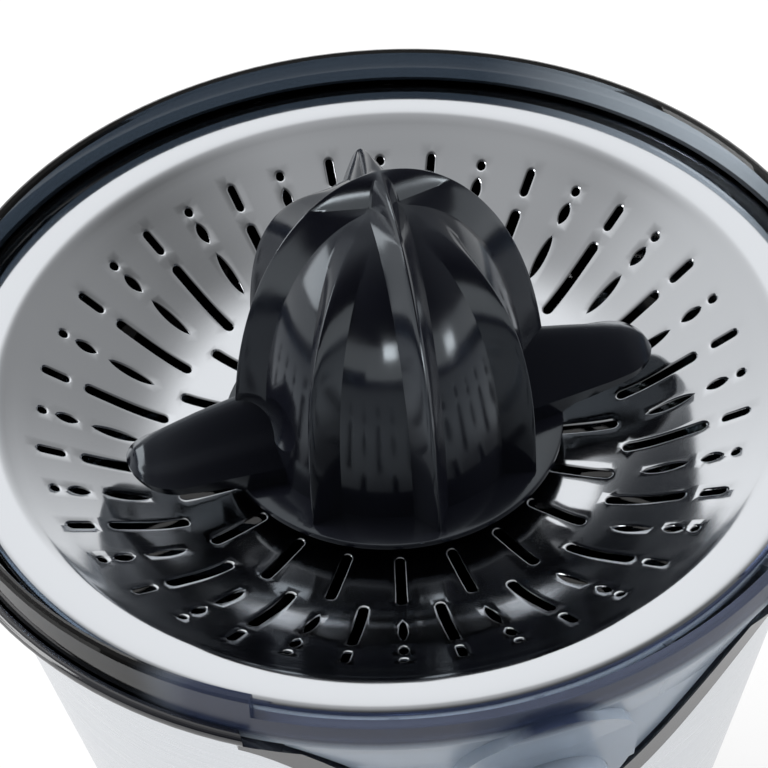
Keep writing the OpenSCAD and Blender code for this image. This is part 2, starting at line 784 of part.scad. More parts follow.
// Perforated steel dish that holds back the pulp
module strainer() {
    wall_r = strainer_r - 17.2;
    floor_r = strainer_r - 43.4;
    lip = [[strainer_r, -1.5], [strainer_r, -0.3], [strainer_r - 0.7, 0.8],
        [strainer_r - 2.4, 1.6], [strainer_r - 5, 1.8], [strainer_r - 7.6, 1.2],
        [strainer_r - 9.4, 0], [strainer_r - 13, -2]];
    under = [[strainer_r - 13.4, -2 - sheet_t], [strainer_r - 9.8, -sheet_t],
        [strainer_r - 7.8, 1.2 - sheet_t], [strainer_r - 5, 1.8 - sheet_t],
        [strainer_r - 2.7, 1.6 - sheet_t], [strainer_r - 1.3, 0.5 - sheet_t / 2],
        [strainer_r - sheet_t, -0.5], [strainer_r - sheet_t, -1.5]];
    color("silver") difference() {
        translate([0, 0, rim_z]) rotate_extrude()
            polygon(concat(lip,
                [[wall_r, -4.7], [floor_r, -dish_depth], [strainer_bore_r + 2, -dish_depth],
                    [strainer_bore_r + sheet_t, -dish_depth + 2],
                    [strainer_bore_r + sheet_t, -dish_depth + 3],
                    [strainer_bore_r, -dish_depth + 3], [strainer_bore_r, -dish_depth - sheet_t],
                    [floor_r + 0.2, -dish_depth - sheet_t], [wall_r + 0.4, -4.7 - sheet_t]],
                under));
        translate([0, 0, floor_z - 3]) linear_extrude(height = dish_depth + 3)
            for (k = [0:ray_count - 1]) {
                rotate(strainer_turn + 360 * k / ray_count) {
                    slot(wall_r - 4.5, wall_r + 1.5, slot_w - 0.4);
                    slot(floor_r, wall_r - 7.8, slot_w);
                }
                rotate(strainer_turn + 360 * (k + 0.5) / ray_count) {
                    translate([wall_r, 0]) circle(d = slot_w - 0.3, $fn = 24);
                    lens_slot(wall_r - 7.6, wall_r - 2.8, slot_w - 0.1);
                    lens_slot(floor_r + 5.5, wall_r - 10.4, slot_w - 0.3);
                    slot(floor_r - 15.6, floor_r - 1.1, slot_w);
                }
            }
    }
}

// Radius of the body between the ribs, and of the crest of rib k, at height h
function valley_r(h) =
    max(dome_at(h, dome_r, dome_h), rib_half * sqrt(2 * (1 - pow(h / tip_h, 11))));
function crest_at(h, k) =
    max(valley_r(h), k % 2 == 0 ? dome_at(h, crest_r, tip_h, rib_power)
        : dome_at(h, crest_r, short_tip_h, short_rib_power));
function rib_foot(h) = asin(min(1, rib_half / valley_r(h)));
function foot_angle(h, k) =
    k % 2 == 0 ? min(40, rib_foot(h)) : min(rib_foot(h), 43 - min(40, rib_foot(h)));

// Point j of the outline at height h: a crest, its two feet and two points between ribs
function body_point(h, j) =
    let (k = floor(j / 5), m = j % 5, a0 = foot_angle(h, k), a1 = foot_angle(h, k + 1),
        a = 45 * k + (m == 0 ? 0 : a0 + (45 - a0 - a1) * (m - 1) / 3),
        r = m == 0 ? crest_at(h, k) : valley_r(h))
    [r * cos(a), r * sin(a), h];

// Domed body with four ribs that meet at the tip and four short ones between them
module ribbed_body() {
    steps = 20;
    ring = 40;
    foot = [for (j = [0:ring - 1]) let (q = body_point(0, j)) [q[0], q[1], -flange_t / 2]];
    rings = [for (i = [1:steps - 1]) for (j = [0:ring - 1])
        body_point(tip_h * sin(90 * i / steps), j)];
    tip = steps * ring;
    polyhedron(concat(foot, rings, [[0, 0, tip_h]]), concat(
        [[for (j = [0:ring - 1]) j]],
        [for (i = [0:steps - 2]) for (j = [0:ring - 1])
            let (n = (j + 1) % ring, a = i * ring)
            each [[a + j, a + ring + j, a + ring + n], [a + j, a + ring + n, a + n]]],
        [for (j = [0:ring - 1]) [tip - ring + j, tip, tip - ring + (j + 1) % ring]]));
}

// One wing: a leaf with a blunt ridge, clear of the strainer's slope
module wing() {
    hull() {
        for (s = [-1, 1]) {
            translate([dome_r - 4, s * 13, 2.8]) sphere(r = 1.6, $fn = 16);
            translate([dome_r - 4, s * 9, -0.2]) sphere(r = 1.2, $fn = 16);
            translate([wing_r - 12, s * 8.6, 2.6]) sphere(r = 1.6, $fn = 16);
            translate([wing_r - 13, s * 5.6, 0.4]) sphere(r = 1.2, $fn = 16);
            translate([wing_r - 5, s * 3.4, 4.4]) sphere(r = 1.4, $fn = 16);
        }
        translate([dome_r - 4, 0, 13.6]) sphere(r = 3, $fn = 24);
        translate([wing_r - 13, 0, 11]) sphere(r = 3, $fn = 24);
        translate([wing_r - 3.4, 0, 5.4]) sphere(r = 2.6, $fn = 24);
    }
}

// Hollow under the dome, which leaves the hub standing round the axis
module cone_cavity() {
    inner_r = dome_r - dome_t;
    inner_h = dome_h - dome_t;
    hub_z = hub_foot - flange_top;
    hub_angle = asin(pow(1 - pow(hub_out_r / inner_r, 2), 1 / dome_power));
    rotate_extrude() polygon(concat(
        [[0, -flange_t - 1], [inner_r, -flange_t - 1]],
        [for (i = [0:10]) let (h = inner_h * sin(hub_angle * i / 10))
            [dome_at(h, inner_r, inner_h), h]],
        [[hub_out_r, hub_z], [0, hub_z]]));
}

// Press cone: dome, ribs, wings, flange and the hub that fits the shaft
module press_cone() {
    socket_h = shaft_top + 0.1 - flange_top;
    color("black") translate([0, 0, flange_top]) rotate([0, 0, cone_turn]) difference() {
        union() {
            difference() {
                ribbed_body();
                for (a = [0, 180]) rotate([0, 0, a + 18.4])
                    translate([dome_r + 9.9, 0, 17]) sphere(r = 13);
            }
            translate([0, 0, -flange_t]) cylinder(r = flange_r, h = flange_t);
            for (a = [0, 180]) rotate([0, 0, a + wing_lead]) wing();
        }
        cone_cavity();
        rotate([0, 0, -cone_turn]) cylinder(r = shaft_r + run_gap, h = socket_h, $fn = 6);
    }
}

foot_ring();
base_ring();
base_plate();
base_screws();
cord_gland();
steel_housing();
rim_trim();
deck();
deck_screws();
shaft_bush();
gear_frame();
gear_cover();
idler_pin();
motor_can();
motor_cap();
motor_screws();
motor_rotor();
compound_gear();
output_gear();
drive_shaft();
return_spring();
switch_body();
switch_plunger();
juice_bowl();
bowl_webs();
spout_tube();
tilting_nozzle();
strainer();
press_cone();
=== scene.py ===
import json
import math

import bmesh
import bpy
from bpy.props import FloatProperty, FloatVectorProperty, IntProperty, PointerProperty
from mathutils import Matrix, Vector
from mathutils.geometry import delaunay_2d_cdt


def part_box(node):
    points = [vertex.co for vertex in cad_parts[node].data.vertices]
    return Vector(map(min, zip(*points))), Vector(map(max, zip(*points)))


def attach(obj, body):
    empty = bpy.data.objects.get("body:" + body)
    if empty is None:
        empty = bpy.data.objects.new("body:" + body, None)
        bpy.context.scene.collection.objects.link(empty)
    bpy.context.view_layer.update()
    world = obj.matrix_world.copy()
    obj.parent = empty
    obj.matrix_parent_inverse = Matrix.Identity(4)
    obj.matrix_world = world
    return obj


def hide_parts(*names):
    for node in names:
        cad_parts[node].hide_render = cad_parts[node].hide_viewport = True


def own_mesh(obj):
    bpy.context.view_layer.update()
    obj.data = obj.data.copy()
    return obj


bl_info = {
    "name": "Citrus Press Juicer",
    "version": (1, 0, 0),
    "blender": (4, 5, 0),
    "location": "3D View > Sidebar > Juicer",
    "description": "Builds the finished surfaces of a citrus press juicer round its solids",
    "category": "Object",
}

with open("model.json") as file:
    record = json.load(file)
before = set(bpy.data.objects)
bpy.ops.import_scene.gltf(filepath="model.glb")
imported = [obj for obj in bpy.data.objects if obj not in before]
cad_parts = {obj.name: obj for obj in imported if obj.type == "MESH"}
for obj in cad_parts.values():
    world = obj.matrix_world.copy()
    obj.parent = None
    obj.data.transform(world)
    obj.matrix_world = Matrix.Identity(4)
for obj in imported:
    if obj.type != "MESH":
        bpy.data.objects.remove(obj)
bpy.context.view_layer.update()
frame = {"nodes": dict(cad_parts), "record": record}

MM = 0.001
MERGE = 1e-6  # points nearer than this, in metres, are one
LIP_CREST = 1.8 * MM  # the strainer's highest ring above the rim
FLANGE_DROP = 13.6 * MM  # the cone's flange below the rim
RIM_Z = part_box("strainer")[1].z - LIP_CREST
FLANGE_Z = RIM_Z - FLANGE_DROP


def length(name, description, default, soft_max=0.3):
    """A size in metres, given in millimetres."""
    return FloatProperty(
        name=name, description=description, default=default * MM, min=0.0,
        soft_max=soft_max, precision=5, unit="LENGTH", subtype="DISTANCE")


def turn_angle(name, description, degrees):
    """An angle, given in degrees."""
    return FloatProperty(
        name=name, description=description, default=math.radians(degrees), subtype="ANGLE")


def tint(name, description, default):
    """A plain colour."""
    return FloatVectorProperty(
        name=name, description=description, default=default, size=3,
        min=0.0, max=1.0, subtype="COLOR")


class JuicerConeSizes(bpy.types.PropertyGroup):
    """Sizes of the ribbed press cone."""
    body_radius: length("Body radius", "Radius of the dome at the flange", 30)
    body_height: length("Body height", "Height of the dome above the flange", 67.5)
    crest_radius: length("Crest radius", "Reach of the rib crests at the flange", 36)
    tip_height: length("Tip height", "Height of the tip above the flange", 73.9)
    short_height: length("Short rib height", "Height where the short ribs would meet", 66)
    rib_half_width: length("Rib half width", "Half the width of a rib on the dome", 3.9)
    flange_radius: length("Flange radius", "Radius of the round flange", 38.2)
    wing_reach: length("Wing reach", "Distance from the axis to a wing's tip", 60.5)
    rib_turn: turn_angle("Rib turn", "Angle of the first main rib", -2.0)
    wing_turn: turn_angle("Wing turn", "Angle of the first wing", -4.6)


class JuicerSpringSizes(bpy.types.PropertyGroup):
    """Sizes of the spring under the shaft's collar."""
    wire_radius: length("Wire radius", "Radius of the spring's wire", 0.6)
    press: length("Press", "How far the cone presses the spring", 3)
    turns: FloatProperty(
        name="Turns", description="Turns of the wire", default=5.0, min=2.0, max=12.0)


class JuicerStrainerSizes(bpy.types.PropertyGroup):
    """Sizes of the perforated strainer."""
    sheet: length("Sheet", "Thickness of the steel sheet", 0.8)
    edge_roll: length("Edge roll", "How far a slot's edge is rolled down", 0.3)
    slot_width: length("Slot width", "Width of the long slots", 2.3)
    rays: IntProperty(
        name="Rays", description="Number of slot rays of each kind",
        default=20, min=6, max=40)
    turn: turn_angle("Turn", "Angle of the first ray", 10.6)


class JuicerFinishes(bpy.types.PropertyGroup):
    """Colours of the finishes."""
    gloss_black: tint("Gloss black", "Cone, trim and base ring", (0.0055, 0.006, 0.0095))
    steel: tint("Steel", "Strainer and housing", (0.73, 0.755, 0.79))
    smoke: tint("Smoke", "Clear bowl", (0.030, 0.042, 0.058))
    window: tint("Window", "Front of the bowl and spout", (0.52, 0.60, 0.70))
    floor: tint("Floor", "Table top", (0.93, 0.93, 0.93))


# -------------------------------------------------------------- node trees

def feed(tree, socket, item):
    """Gives an input a value, or a link from a field or an output."""
    if isinstance(item, Field):
        item = item.value
    if isinstance(item, bpy.types.NodeSocket):
        tree.links.new(item, socket)
    else:
        socket.default_value = item


def add_node(tree, kind, sockets=(), **settings):
    """A node with its settings, and its inputs by name or number."""
    node = tree.nodes.new(kind)
    for key, value in settings.items():
        setattr(node, key, value)
    for key, value in dict(sockets).items():
        feed(tree, node.inputs[key], value)
    return node


class Field:
    """An output in a node tree that takes plain arithmetic."""

    def __init__(self, tree, value):
        self.tree, self.value = tree, value

    def math(self, operation, *others):
        inputs = dict(enumerate((self, *others)))
        node = add_node(self.tree, "ShaderNodeMath", inputs, operation=operation)
        return Field(self.tree, node.outputs[0])

    def __add__(self, other): return self.math("ADD", other)
    def __sub__(self, other): return self.math("SUBTRACT", other)
    def __mul__(self, other): return self.math("MULTIPLY", other)
    def __truediv__(self, other): return self.math("DIVIDE", other)
    def __pow__(self, other): return self.math("POWER", other)
    def __gt__(self, other): return self.math("GREATER_THAN", other)

    def least(self, other): return self.math("MINIMUM", other)
    def most(self, other): return self.math("MAXIMUM", other)
    def root(self): return self.most(0.0).math("SQRT")
    def floor(self): return self.math("FLOOR")
    def modulo(self, other): return self.math("MODULO", other)
    def sine(self): return self.math("SINE")
    def cosine(self): return self.math("COSINE")
    def arcsine(self): return self.math("ARCSINE")

    def mixed(self, other, share):
        """self where share is 0 and other where it is 1."""
        return self + (other - self) * share

    def ramp(self, start, end, low=0.0, high=1.0, shape="SMOOTHSTEP"):
        """Goes from low to high while this field goes from start to end."""
        node = add_node(self.tree, "ShaderNodeMapRange", {
            "Value": self, "From Min": start, "From Max": end, "To Min": low, "To Max": high},
            interpolation_type=shape)
        return Field(self.tree, node.outputs["Result"])

    def choose(self, first, second, kind="RGBA"):
        """first where this field is 0 and second where it is 1, as colours or numbers."""
        node = add_node(self.tree, "ShaderNodeMix",
                        {"Factor": self, "A": first, "B": second}, data_type=kind)
        return Field(self.tree, node.outputs["Result"])


class Maker:
    """Builds one geometry node tree with named inputs."""

    def __init__(self, name):
        self.tree = bpy.data.node_groups.new(name, "GeometryNodeTree")
        sockets = self.tree.interface
        sockets.new_socket("Geometry", in_out="INPUT", socket_type="NodeSocketGeometry")
        sockets.new_socket("Geometry", in_out="OUTPUT", socket_type="NodeSocketGeometry")
        self.start = self.tree.nodes.new("NodeGroupInput")
        self.end = self.tree.nodes.new("NodeGroupOutput")
        self.values = {}

    def size(self, name, value):
        """A named input and the value that the modifier gives it."""
        socket = self.tree.interface.new_socket(
            name, in_out="INPUT", socket_type="NodeSocketFloat")
        socket.default_value = value
        self.values[socket.identifier] = value
        return Field(self.tree, self.start.outputs[name])

    def node(self, kind, sockets=(), **settings):
        """A node of this tree."""
        return add_node(self.tree, kind, sockets, **settings)

    def finish(self, geometry, material):
        """Ends the tree in Realize Instances and Set Material."""
        real = self.node("GeometryNodeRealizeInstances", {"Geometry": geometry})
        last = self.node("GeometryNodeSetMaterial",
                         {"Geometry": real.outputs[0], "Material": material})
        self.tree.links.new(last.outputs[0], self.end.inputs[0])

    def put_on(self, obj):
        """Adds the tree to an object, with its inputs by identifier."""
        modifier = obj.modifiers.new(self.tree.name, "NODES")
        modifier.node_group = self.tree
        for identifier, value in self.values.items():
            modifier[identifier] = value


def turned_copies(maker, geometry, count, start):
    """Copies of a geometry, turned evenly about Z."""
    step = 2 * math.pi / count
    line = maker.node("GeometryNodeMeshLine", {"Count": count, "Offset": (0, 0, 0)})
    index = Field(maker.tree, maker.node("GeometryNodeInputIndex").outputs[0])
    angle = maker.node("ShaderNodeCombineXYZ", {"Z": index * step + start})
    copies = maker.node("GeometryNodeInstanceOnPoints", {
        "Points": line.outputs[0], "Instance": geometry, "Rotation": angle.outputs[0]})
    return copies.outputs[0]


# ---------------------------------------------------------------- materials

# Painted reflection on the bowl's back right wall, and painted blue highlight along the top edge
# of its front rim
PAINTED_WALL_REFLECTION = (0.36, 0.41, 0.46, 1.0)
PAINTED_RIM_HIGHLIGHT = (0.04, 0.055, 0.11, 1.0)
FRONT_HAZE = 0.22  # added to the roughness at the bowl's milky front
FRONT_CLEARNESS = 0.58  # transmission left there
FLOOR_GLOW = 0.75  # share of the floor's look that is plain white

# Finish of each material slot of the solids
FINISH_OF = {
    "rubber_grey": "grey_rubber", "black_gloss": "gloss_black_plastic",
    "steel_brushed": "brushed_steel", "steel_polished": "pressed_steel",
    "screw_steel": "bright_steel", "smoke_clear": "smoke_plastic",
    "inner_grey": "inner_grey_plastic", "dark_matt": "dark_matt_plastic",
    "gear_ivory": "ivory_acetal", "bronze": "sintered_bronze",
    "motor_zinc": "zinc_coat", "switch_red": "switch_red_plastic"}


def new_material(name, **sockets):
    """The tree and shader of a new Principled material with the given socket values."""
    material = bpy.data.materials.new(name)
    material.use_nodes = True
    shader = material.node_tree.nodes["Principled BSDF"]
    for key, value in sockets.items():
        if isinstance(value, tuple):
            value = (*value, 1.0)
        shader.inputs[key.replace("_", " ")].default_value = value
    return material.node_tree, shader


def add_noise(tree, scale, stretch=(1, 1, 1), detail=3.0):
    """A noise texture on object coordinates, stretched along the axes."""
    place = add_node(tree, "ShaderNodeTexCoord")
    mapping = add_node(tree, "ShaderNodeMapping",
                       {"Vector": place.outputs["Object"], "Scale": stretch})
    noise = add_node(tree, "ShaderNodeTexNoise", {
        "Vector": mapping.outputs["Vector"], "Scale": scale, "Detail": detail})
    return Field(tree, noise.outputs["Fac"])


def spread(noise, low, high):
    """Maps the middle part of a noise, where most of it lies, onto low..high."""
    return noise.ramp(0.3, 0.7, low, high, "LINEAR")


def add_roughness(shader, noise, low, high):
    """Roughness that varies with a noise."""
    feed(noise.tree, shader.inputs["Roughness"], spread(noise, low, high))


def add_bump(shader, height, strength, distance):
    """Bump from a height field, on the shader's normal."""
    node = add_node(height.tree, "ShaderNodeBump",
                    {"Strength": strength, "Distance": distance, "Height": height})
    feed(height.tree, shader.inputs["Normal"], node.outputs["Normal"])


def gloss_black_plastic(colour):
    """High gloss moulded plastic with a trace of mould texture."""
    tree, shader = new_material("gloss_black_plastic", Base_Color=colour, Roughness=0.1, IOR=2.0)
    add_roughness(shader, add_noise(tree, 60), 0.07, 0.13)
    add_bump(shader, add_noise(tree, 350, detail=2), 0.03, 0.0002)


def cone_plastic(colour):
    """Glossy cone plastic, slightly blurred by the mould's finish."""
    tree, shader = new_material(
        "cone_plastic", Base_Color=colour, Roughness=0.14, IOR=1.7,
        Specular_Tint=(0.84, 0.93, 1.0))
    add_roughness(shader, add_noise(tree, 90), 0.11, 0.18)
    add_bump(shader, add_noise(tree, 260, detail=2), 0.04, 0.0002)


def pressed_steel(colour):
    """Pressed and polished sheet of the strainer."""
    tree, shader = new_material("pressed_steel", Base_Color=colour, Metallic=1.0, Roughness=0.2)
    add_roughness(shader, add_noise(tree, 140), 0.09, 0.13)
    add_bump(shader, add_noise(tree, 900, detail=2), 0.02, 0.0001)


def brushed_steel(colour):
    """Steel brushed round the housing, with fine even streaks."""
    tree, shader = new_material("brushed_steel", Base_Color=colour, Metallic=1.0, Roughness=0.3)
    streaks = add_noise(tree, 40, stretch=(1, 1, 60), detail=6)
    add_roughness(shader, streaks, 0.24, 0.36)
    add_bump(shader, streaks, 0.08, 0.0001)


def bright_steel(colour):
    """Turned steel of shafts, screws and springs."""
    tree, shader = new_material("bright_steel", Base_Color=colour, Metallic=1.0, Roughness=0.25)
    add_roughness(shader, add_noise(tree, 300), 0.2, 0.32)


def smoke_plastic(colour, window):
    """Clear moulded plastic with a smoke tint, pale and milky at the front window; painted
    reflection on the back right wall, painted highlight on the front rim's top edge.
    """
    tree, shader = new_material(
        "smoke_plastic", Base_Color=colour, Roughness=0.03, IOR=1.49, Transmission_Weight=1.0)
    place = add_node(tree, "ShaderNodeTexCoord")
    axes = add_node(tree, "ShaderNodeSeparateXYZ", {0: place.outputs["Object"]})
    x, y, z = (Field(tree, axes.outputs[key]) for key in "XYZ")
    front = y.ramp(-66 * MM, -78 * MM)
    # painted reflection: the back right of the wall is coloured pale in place of the lamps
    # mirrored in it
    painted_reflection = x.ramp(50 * MM, 100 * MM) * y.ramp(-10 * MM, 40 * MM)
    top_edge = z.ramp(RIM_Z - 2.5 * MM, RIM_Z - 0.5 * MM, shape="LINEAR")
    wall = painted_reflection.choose((*colour, 1.0), PAINTED_WALL_REFLECTION)
    tone = front.choose(wall, (*window, 1.0))
    # painted highlight: a blue band along the top edge of the front rim
    shown = (top_edge * front).choose(tone, PAINTED_RIM_HIGHLIGHT)
    feed(tree, shader.inputs["Base Color"], shown)
    clearness = front.ramp(0.0, 1.0, 1.0, FRONT_CLEARNESS, "LINEAR")
    feed(tree, shader.inputs["Transmission Weight"], clearness)
    haze = front.math("MULTIPLY_ADD", FRONT_HAZE, spread(add_noise(tree, 25), 0.015, 0.05))
    feed(tree, shader.inputs["Roughness"], haze)
    add_bump(shader, add_noise(tree, 45, detail=1), 0.05, 0.0004)


def moulded_plastic(name, colour, roughness):
    """Matt moulded plastic or rubber with a fine grain."""
    tree, shader = new_material(name, Base_Color=colour, Roughness=roughness)
    grain = add_noise(tree, 500)
    add_roughness(shader, grain, roughness - 0.08, roughness + 0.08)
    add_bump(shader, grain, 0.15, 0.0002)


def plain_metal(name, colour, roughness):
    """Coated or sintered metal with uneven gloss."""
    tree, shader = new_material(name, Base_Color=colour, Metallic=1.0, Roughness=roughness)
    grain = add_noise(tree, 220)
    add_roughness(shader, grain, roughness - 0.07, roughness + 0.09)
    add_bump(shader, grain, 0.06, 0.0002)


def material_named(name):
    """A material that an operator made before."""
    material = bpy.data.materials.get(name)
    if material is None:
        raise RuntimeError(f"run the finishes first: there is no {name}")
    return material


def paint(mesh, material_name):
    """Gives a whole mesh one finish."""
    mesh.materials.clear()
    mesh.materials.append(material_named(material_name))


class JUICER_OT_finishes(bpy.types.Operator):
    """Makes the materials and paints the carried-over solids"""
    bl_idname = "juicer.finishes"
    bl_label = "Finishes"

    def execute(self, context):
        colours = context.scene.juicer_finishes
        gloss_black_plastic(tuple(colours.gloss_black))
        cone_plastic(tuple(colours.gloss_black))
        pressed_steel(tuple(colours.steel))
        brushed_steel(tuple(c * 0.9 for c in colours.steel))
        bright_steel((0.62, 0.62, 0.64))
        smoke_plastic(tuple(colours.smoke), tuple(colours.window))
        moulded_plastic("grey_rubber", (0.05, 0.05, 0.055), 0.6)
        moulded_plastic("inner_grey_plastic", (0.5, 0.51, 0.52), 0.45)
        moulded_plastic("dark_matt_plastic", (0.03, 0.03, 0.033), 0.5)
        moulded_plastic("ivory_acetal", (0.8, 0.76, 0.64), 0.35)
        moulded_plastic("switch_red_plastic", (0.5, 0.04, 0.03), 0.4)
        plain_metal("sintered_bronze", (0.62, 0.44, 0.22), 0.45)
        plain_metal("zinc_coat", (0.6, 0.62, 0.65), 0.35)
        for part in frame["record"]["subparts"]:
            paint(frame["nodes"][part["node"]].data, FINISH_OF[part["material_slot"]])
        return {"FINISHED"}


# ------------------------------------------------------------- mesh helpers

def mesh_object(name, points, faces):
    """A new object at the origin, from points in metres."""
    mesh = bpy.data.meshes.new(name)
    mesh.from_pydata(points, [], faces)
    mesh.update()
    obj = bpy.data.objects.new(name, mesh)
    bpy.context.scene.collection.objects.link(obj)
    return obj


def tidy_normals(obj):
    """Merges doubles and turns every face outwards."""
    bm = bmesh.new()
    bm.from_mesh(obj.data)
    bmesh.ops.remove_doubles(bm, verts=bm.verts, dist=MERGE)
    bmesh.ops.dissolve_degenerate(bm, edges=bm.edges, dist=MERGE)
    bmesh.ops.recalc_face_normals(bm, faces=bm.faces)
    bm.to_mesh(obj.data)
    bm.free()
    obj.data.update()


def shade(obj, degrees):
    """Smooth shading that keeps edges sharper than the angle."""
    obj.data.shade_smooth()
    bm = bmesh.new()
    bm.from_mesh(obj.data)
    limit = math.radians(degrees)
    for edge in bm.edges:
        edge.smooth = len(edge.link_faces) == 2 and edge.calc_face_angle(0.0) < limit
    bm.to_mesh(obj.data)
    bm.free()


def lathe(name, profile, steps=128):
    """Revolves a closed profile of (radius, height) in millimetres about Z."""
    points, faces = [], []
    count = len(profile)
    for i in range(steps):
        a = 2 * math.pi * i / steps
        for r, z in profile:
            points.append((r * MM * math.cos(a), r * MM * math.sin(a), z * MM))
    for i in range(steps):
        for j in range(count):
            a, b = i * count + j, i * count + (j + 1) % count
            n = ((i + 1) % steps) * count
            faces.append((a, n + j, n + (j + 1) % count, b))
    obj = mesh_object(name, points, faces)
    tidy_normals(obj)
    return obj


def freeze(obj):
    """Replaces an object's modifiers by the plain mesh that they make."""
    depsgraph = bpy.context.evaluated_depsgraph_get()
    mesh = bpy.data.meshes.new_from_object(obj.evaluated_get(depsgraph), depsgraph=depsgraph)
    obj.modifiers.clear()
    obj.data = mesh
    mesh.name = obj.name


def cut(obj, tool, operation="DIFFERENCE"):
    """Exact boolean with a tool object, which is then removed."""
    modifier = obj.modifiers.new("cut", "BOOLEAN")
    modifier.operation = operation
    modifier.solver = "EXACT"
    modifier.object = tool
    freeze(obj)
    bpy.data.objects.remove(tool)


def rounding(e):
    """Rise of the softened slope sqrt(u u + e e) from u = 0 to u = 1."""
    return math.sqrt(1 + e * e) - e


# -------------------------------------------------------------- press cone

# Grid of the dome: columns on a rib's flank and in half a valley, rows up, ribs of two lengths
FLANK, VALLEY, ROWS, RIBS = 7, 4, 96, 8
RIB_ANGLE = math.radians(45)
GRID_MERGE = 0.002 * MM
FLANK_SPACING = 1.7  # power that brings the columns of a flank nearer to the crest
CREST_ROUNDING = 0.1
# Powers of the curves up the dome: its body, the core under the tip, the main crests, and how much
# more the short crests have
BODY_POWER, CORE_POWER, CREST_POWER, SHORT_EXTRA = 2.6, 11.0, 2.2, 0.8
# Widest half angle of a rib's foot, and what the feet of two neighbours take up together
WIDEST_FOOT, FEET_TOGETHER = math.radians(40), math.radians(43)
FOOT_STEP = 0.8 * MM  # depth of the dome's foot in the flange

# Stations of a wing in millimetres: radius, ridge height, ridge offset, height of the underside
WING_STATIONS = [
    (22.0, 20.0, 1.3, -0.8), (30.0, 18.7, 1.3, -0.8), (36.0, 17.5, 1.3, -0.8),
    (40.0, 16.6, 1.4, 1.0), (44.0, 15.6, 1.5, 1.3), (50.0, 13.8, 1.8, 2.0),
    (54.0, 12.3, 2.0, 2.6), (56.6, 10.8, 2.2, 3.3), (59.0, 8.9, 1.8, 4.1),
    (60.1, 7.0, 1.4, 4.6), (60.7, 5.7, 1.3, 4.9)]
WING_LEFT = 12.5  # offset of the left edge
# Offset of the right edge, and how fast it comes in past a radius
WING_RIGHT, RIGHT_TAPER, TAPER_START = 10.2, 0.184, 30
# How each edge closes at the tip: start radius, span, power, offset at the tip
LEFT_TIP = (49, 11.7, 2.6, 1.5)
RIGHT_TIP = (54, 6.7, 2, 1.3)
# Height of the edges, and the radius from which it rises by 1 mm to the tip
EDGE_HEIGHT, EDGE_RISE_START = 4.6, 50
RIDGE_ROUNDING = 0.13
# Grid of a wing: stations along it, steps across a side, and the power that crowds them at the top
WING_STEPS, SIDE_STEPS, SIDE_SPACING = 44, 12, 1.25
# Soft swell of the left face: share of its fall, place and width across it
SWELL, SWELL_PLACE, SWELL_WIDTH = 0.035, 0.75, 0.12
# Section under the edges: share of the width by which it comes in, height above the underside
UNDER_SECTION = [(0.03, 0.4), (0.10, 0.0)]

# Ball that hollows the dome beside a wing: radius, distance from the axis, height, angle
SCOOP_RADIUS, SCOOP_REACH, SCOOP_RISE, SCOOP_TURN = 13, 40.6, 17, math.radians(18.4)

# Cavity under the dome, and the hub with the shaft's bore in it, in millimetres above the flange
CAVITY_RADIUS, CAVITY_HEIGHT, CAVITY_POWER, CAVITY_STEPS = 27.4, 64.9, 2.6, 14
CAVITY_END = math.radians(74)
HUB_RADIUS, HUB_FOOT, BORE_RADIUS, BORE_TOP = 8.5, 3.6, 4.06, 37.7
CORE_AXIS = 0.4  # inner radius of the core, hidden in the bore


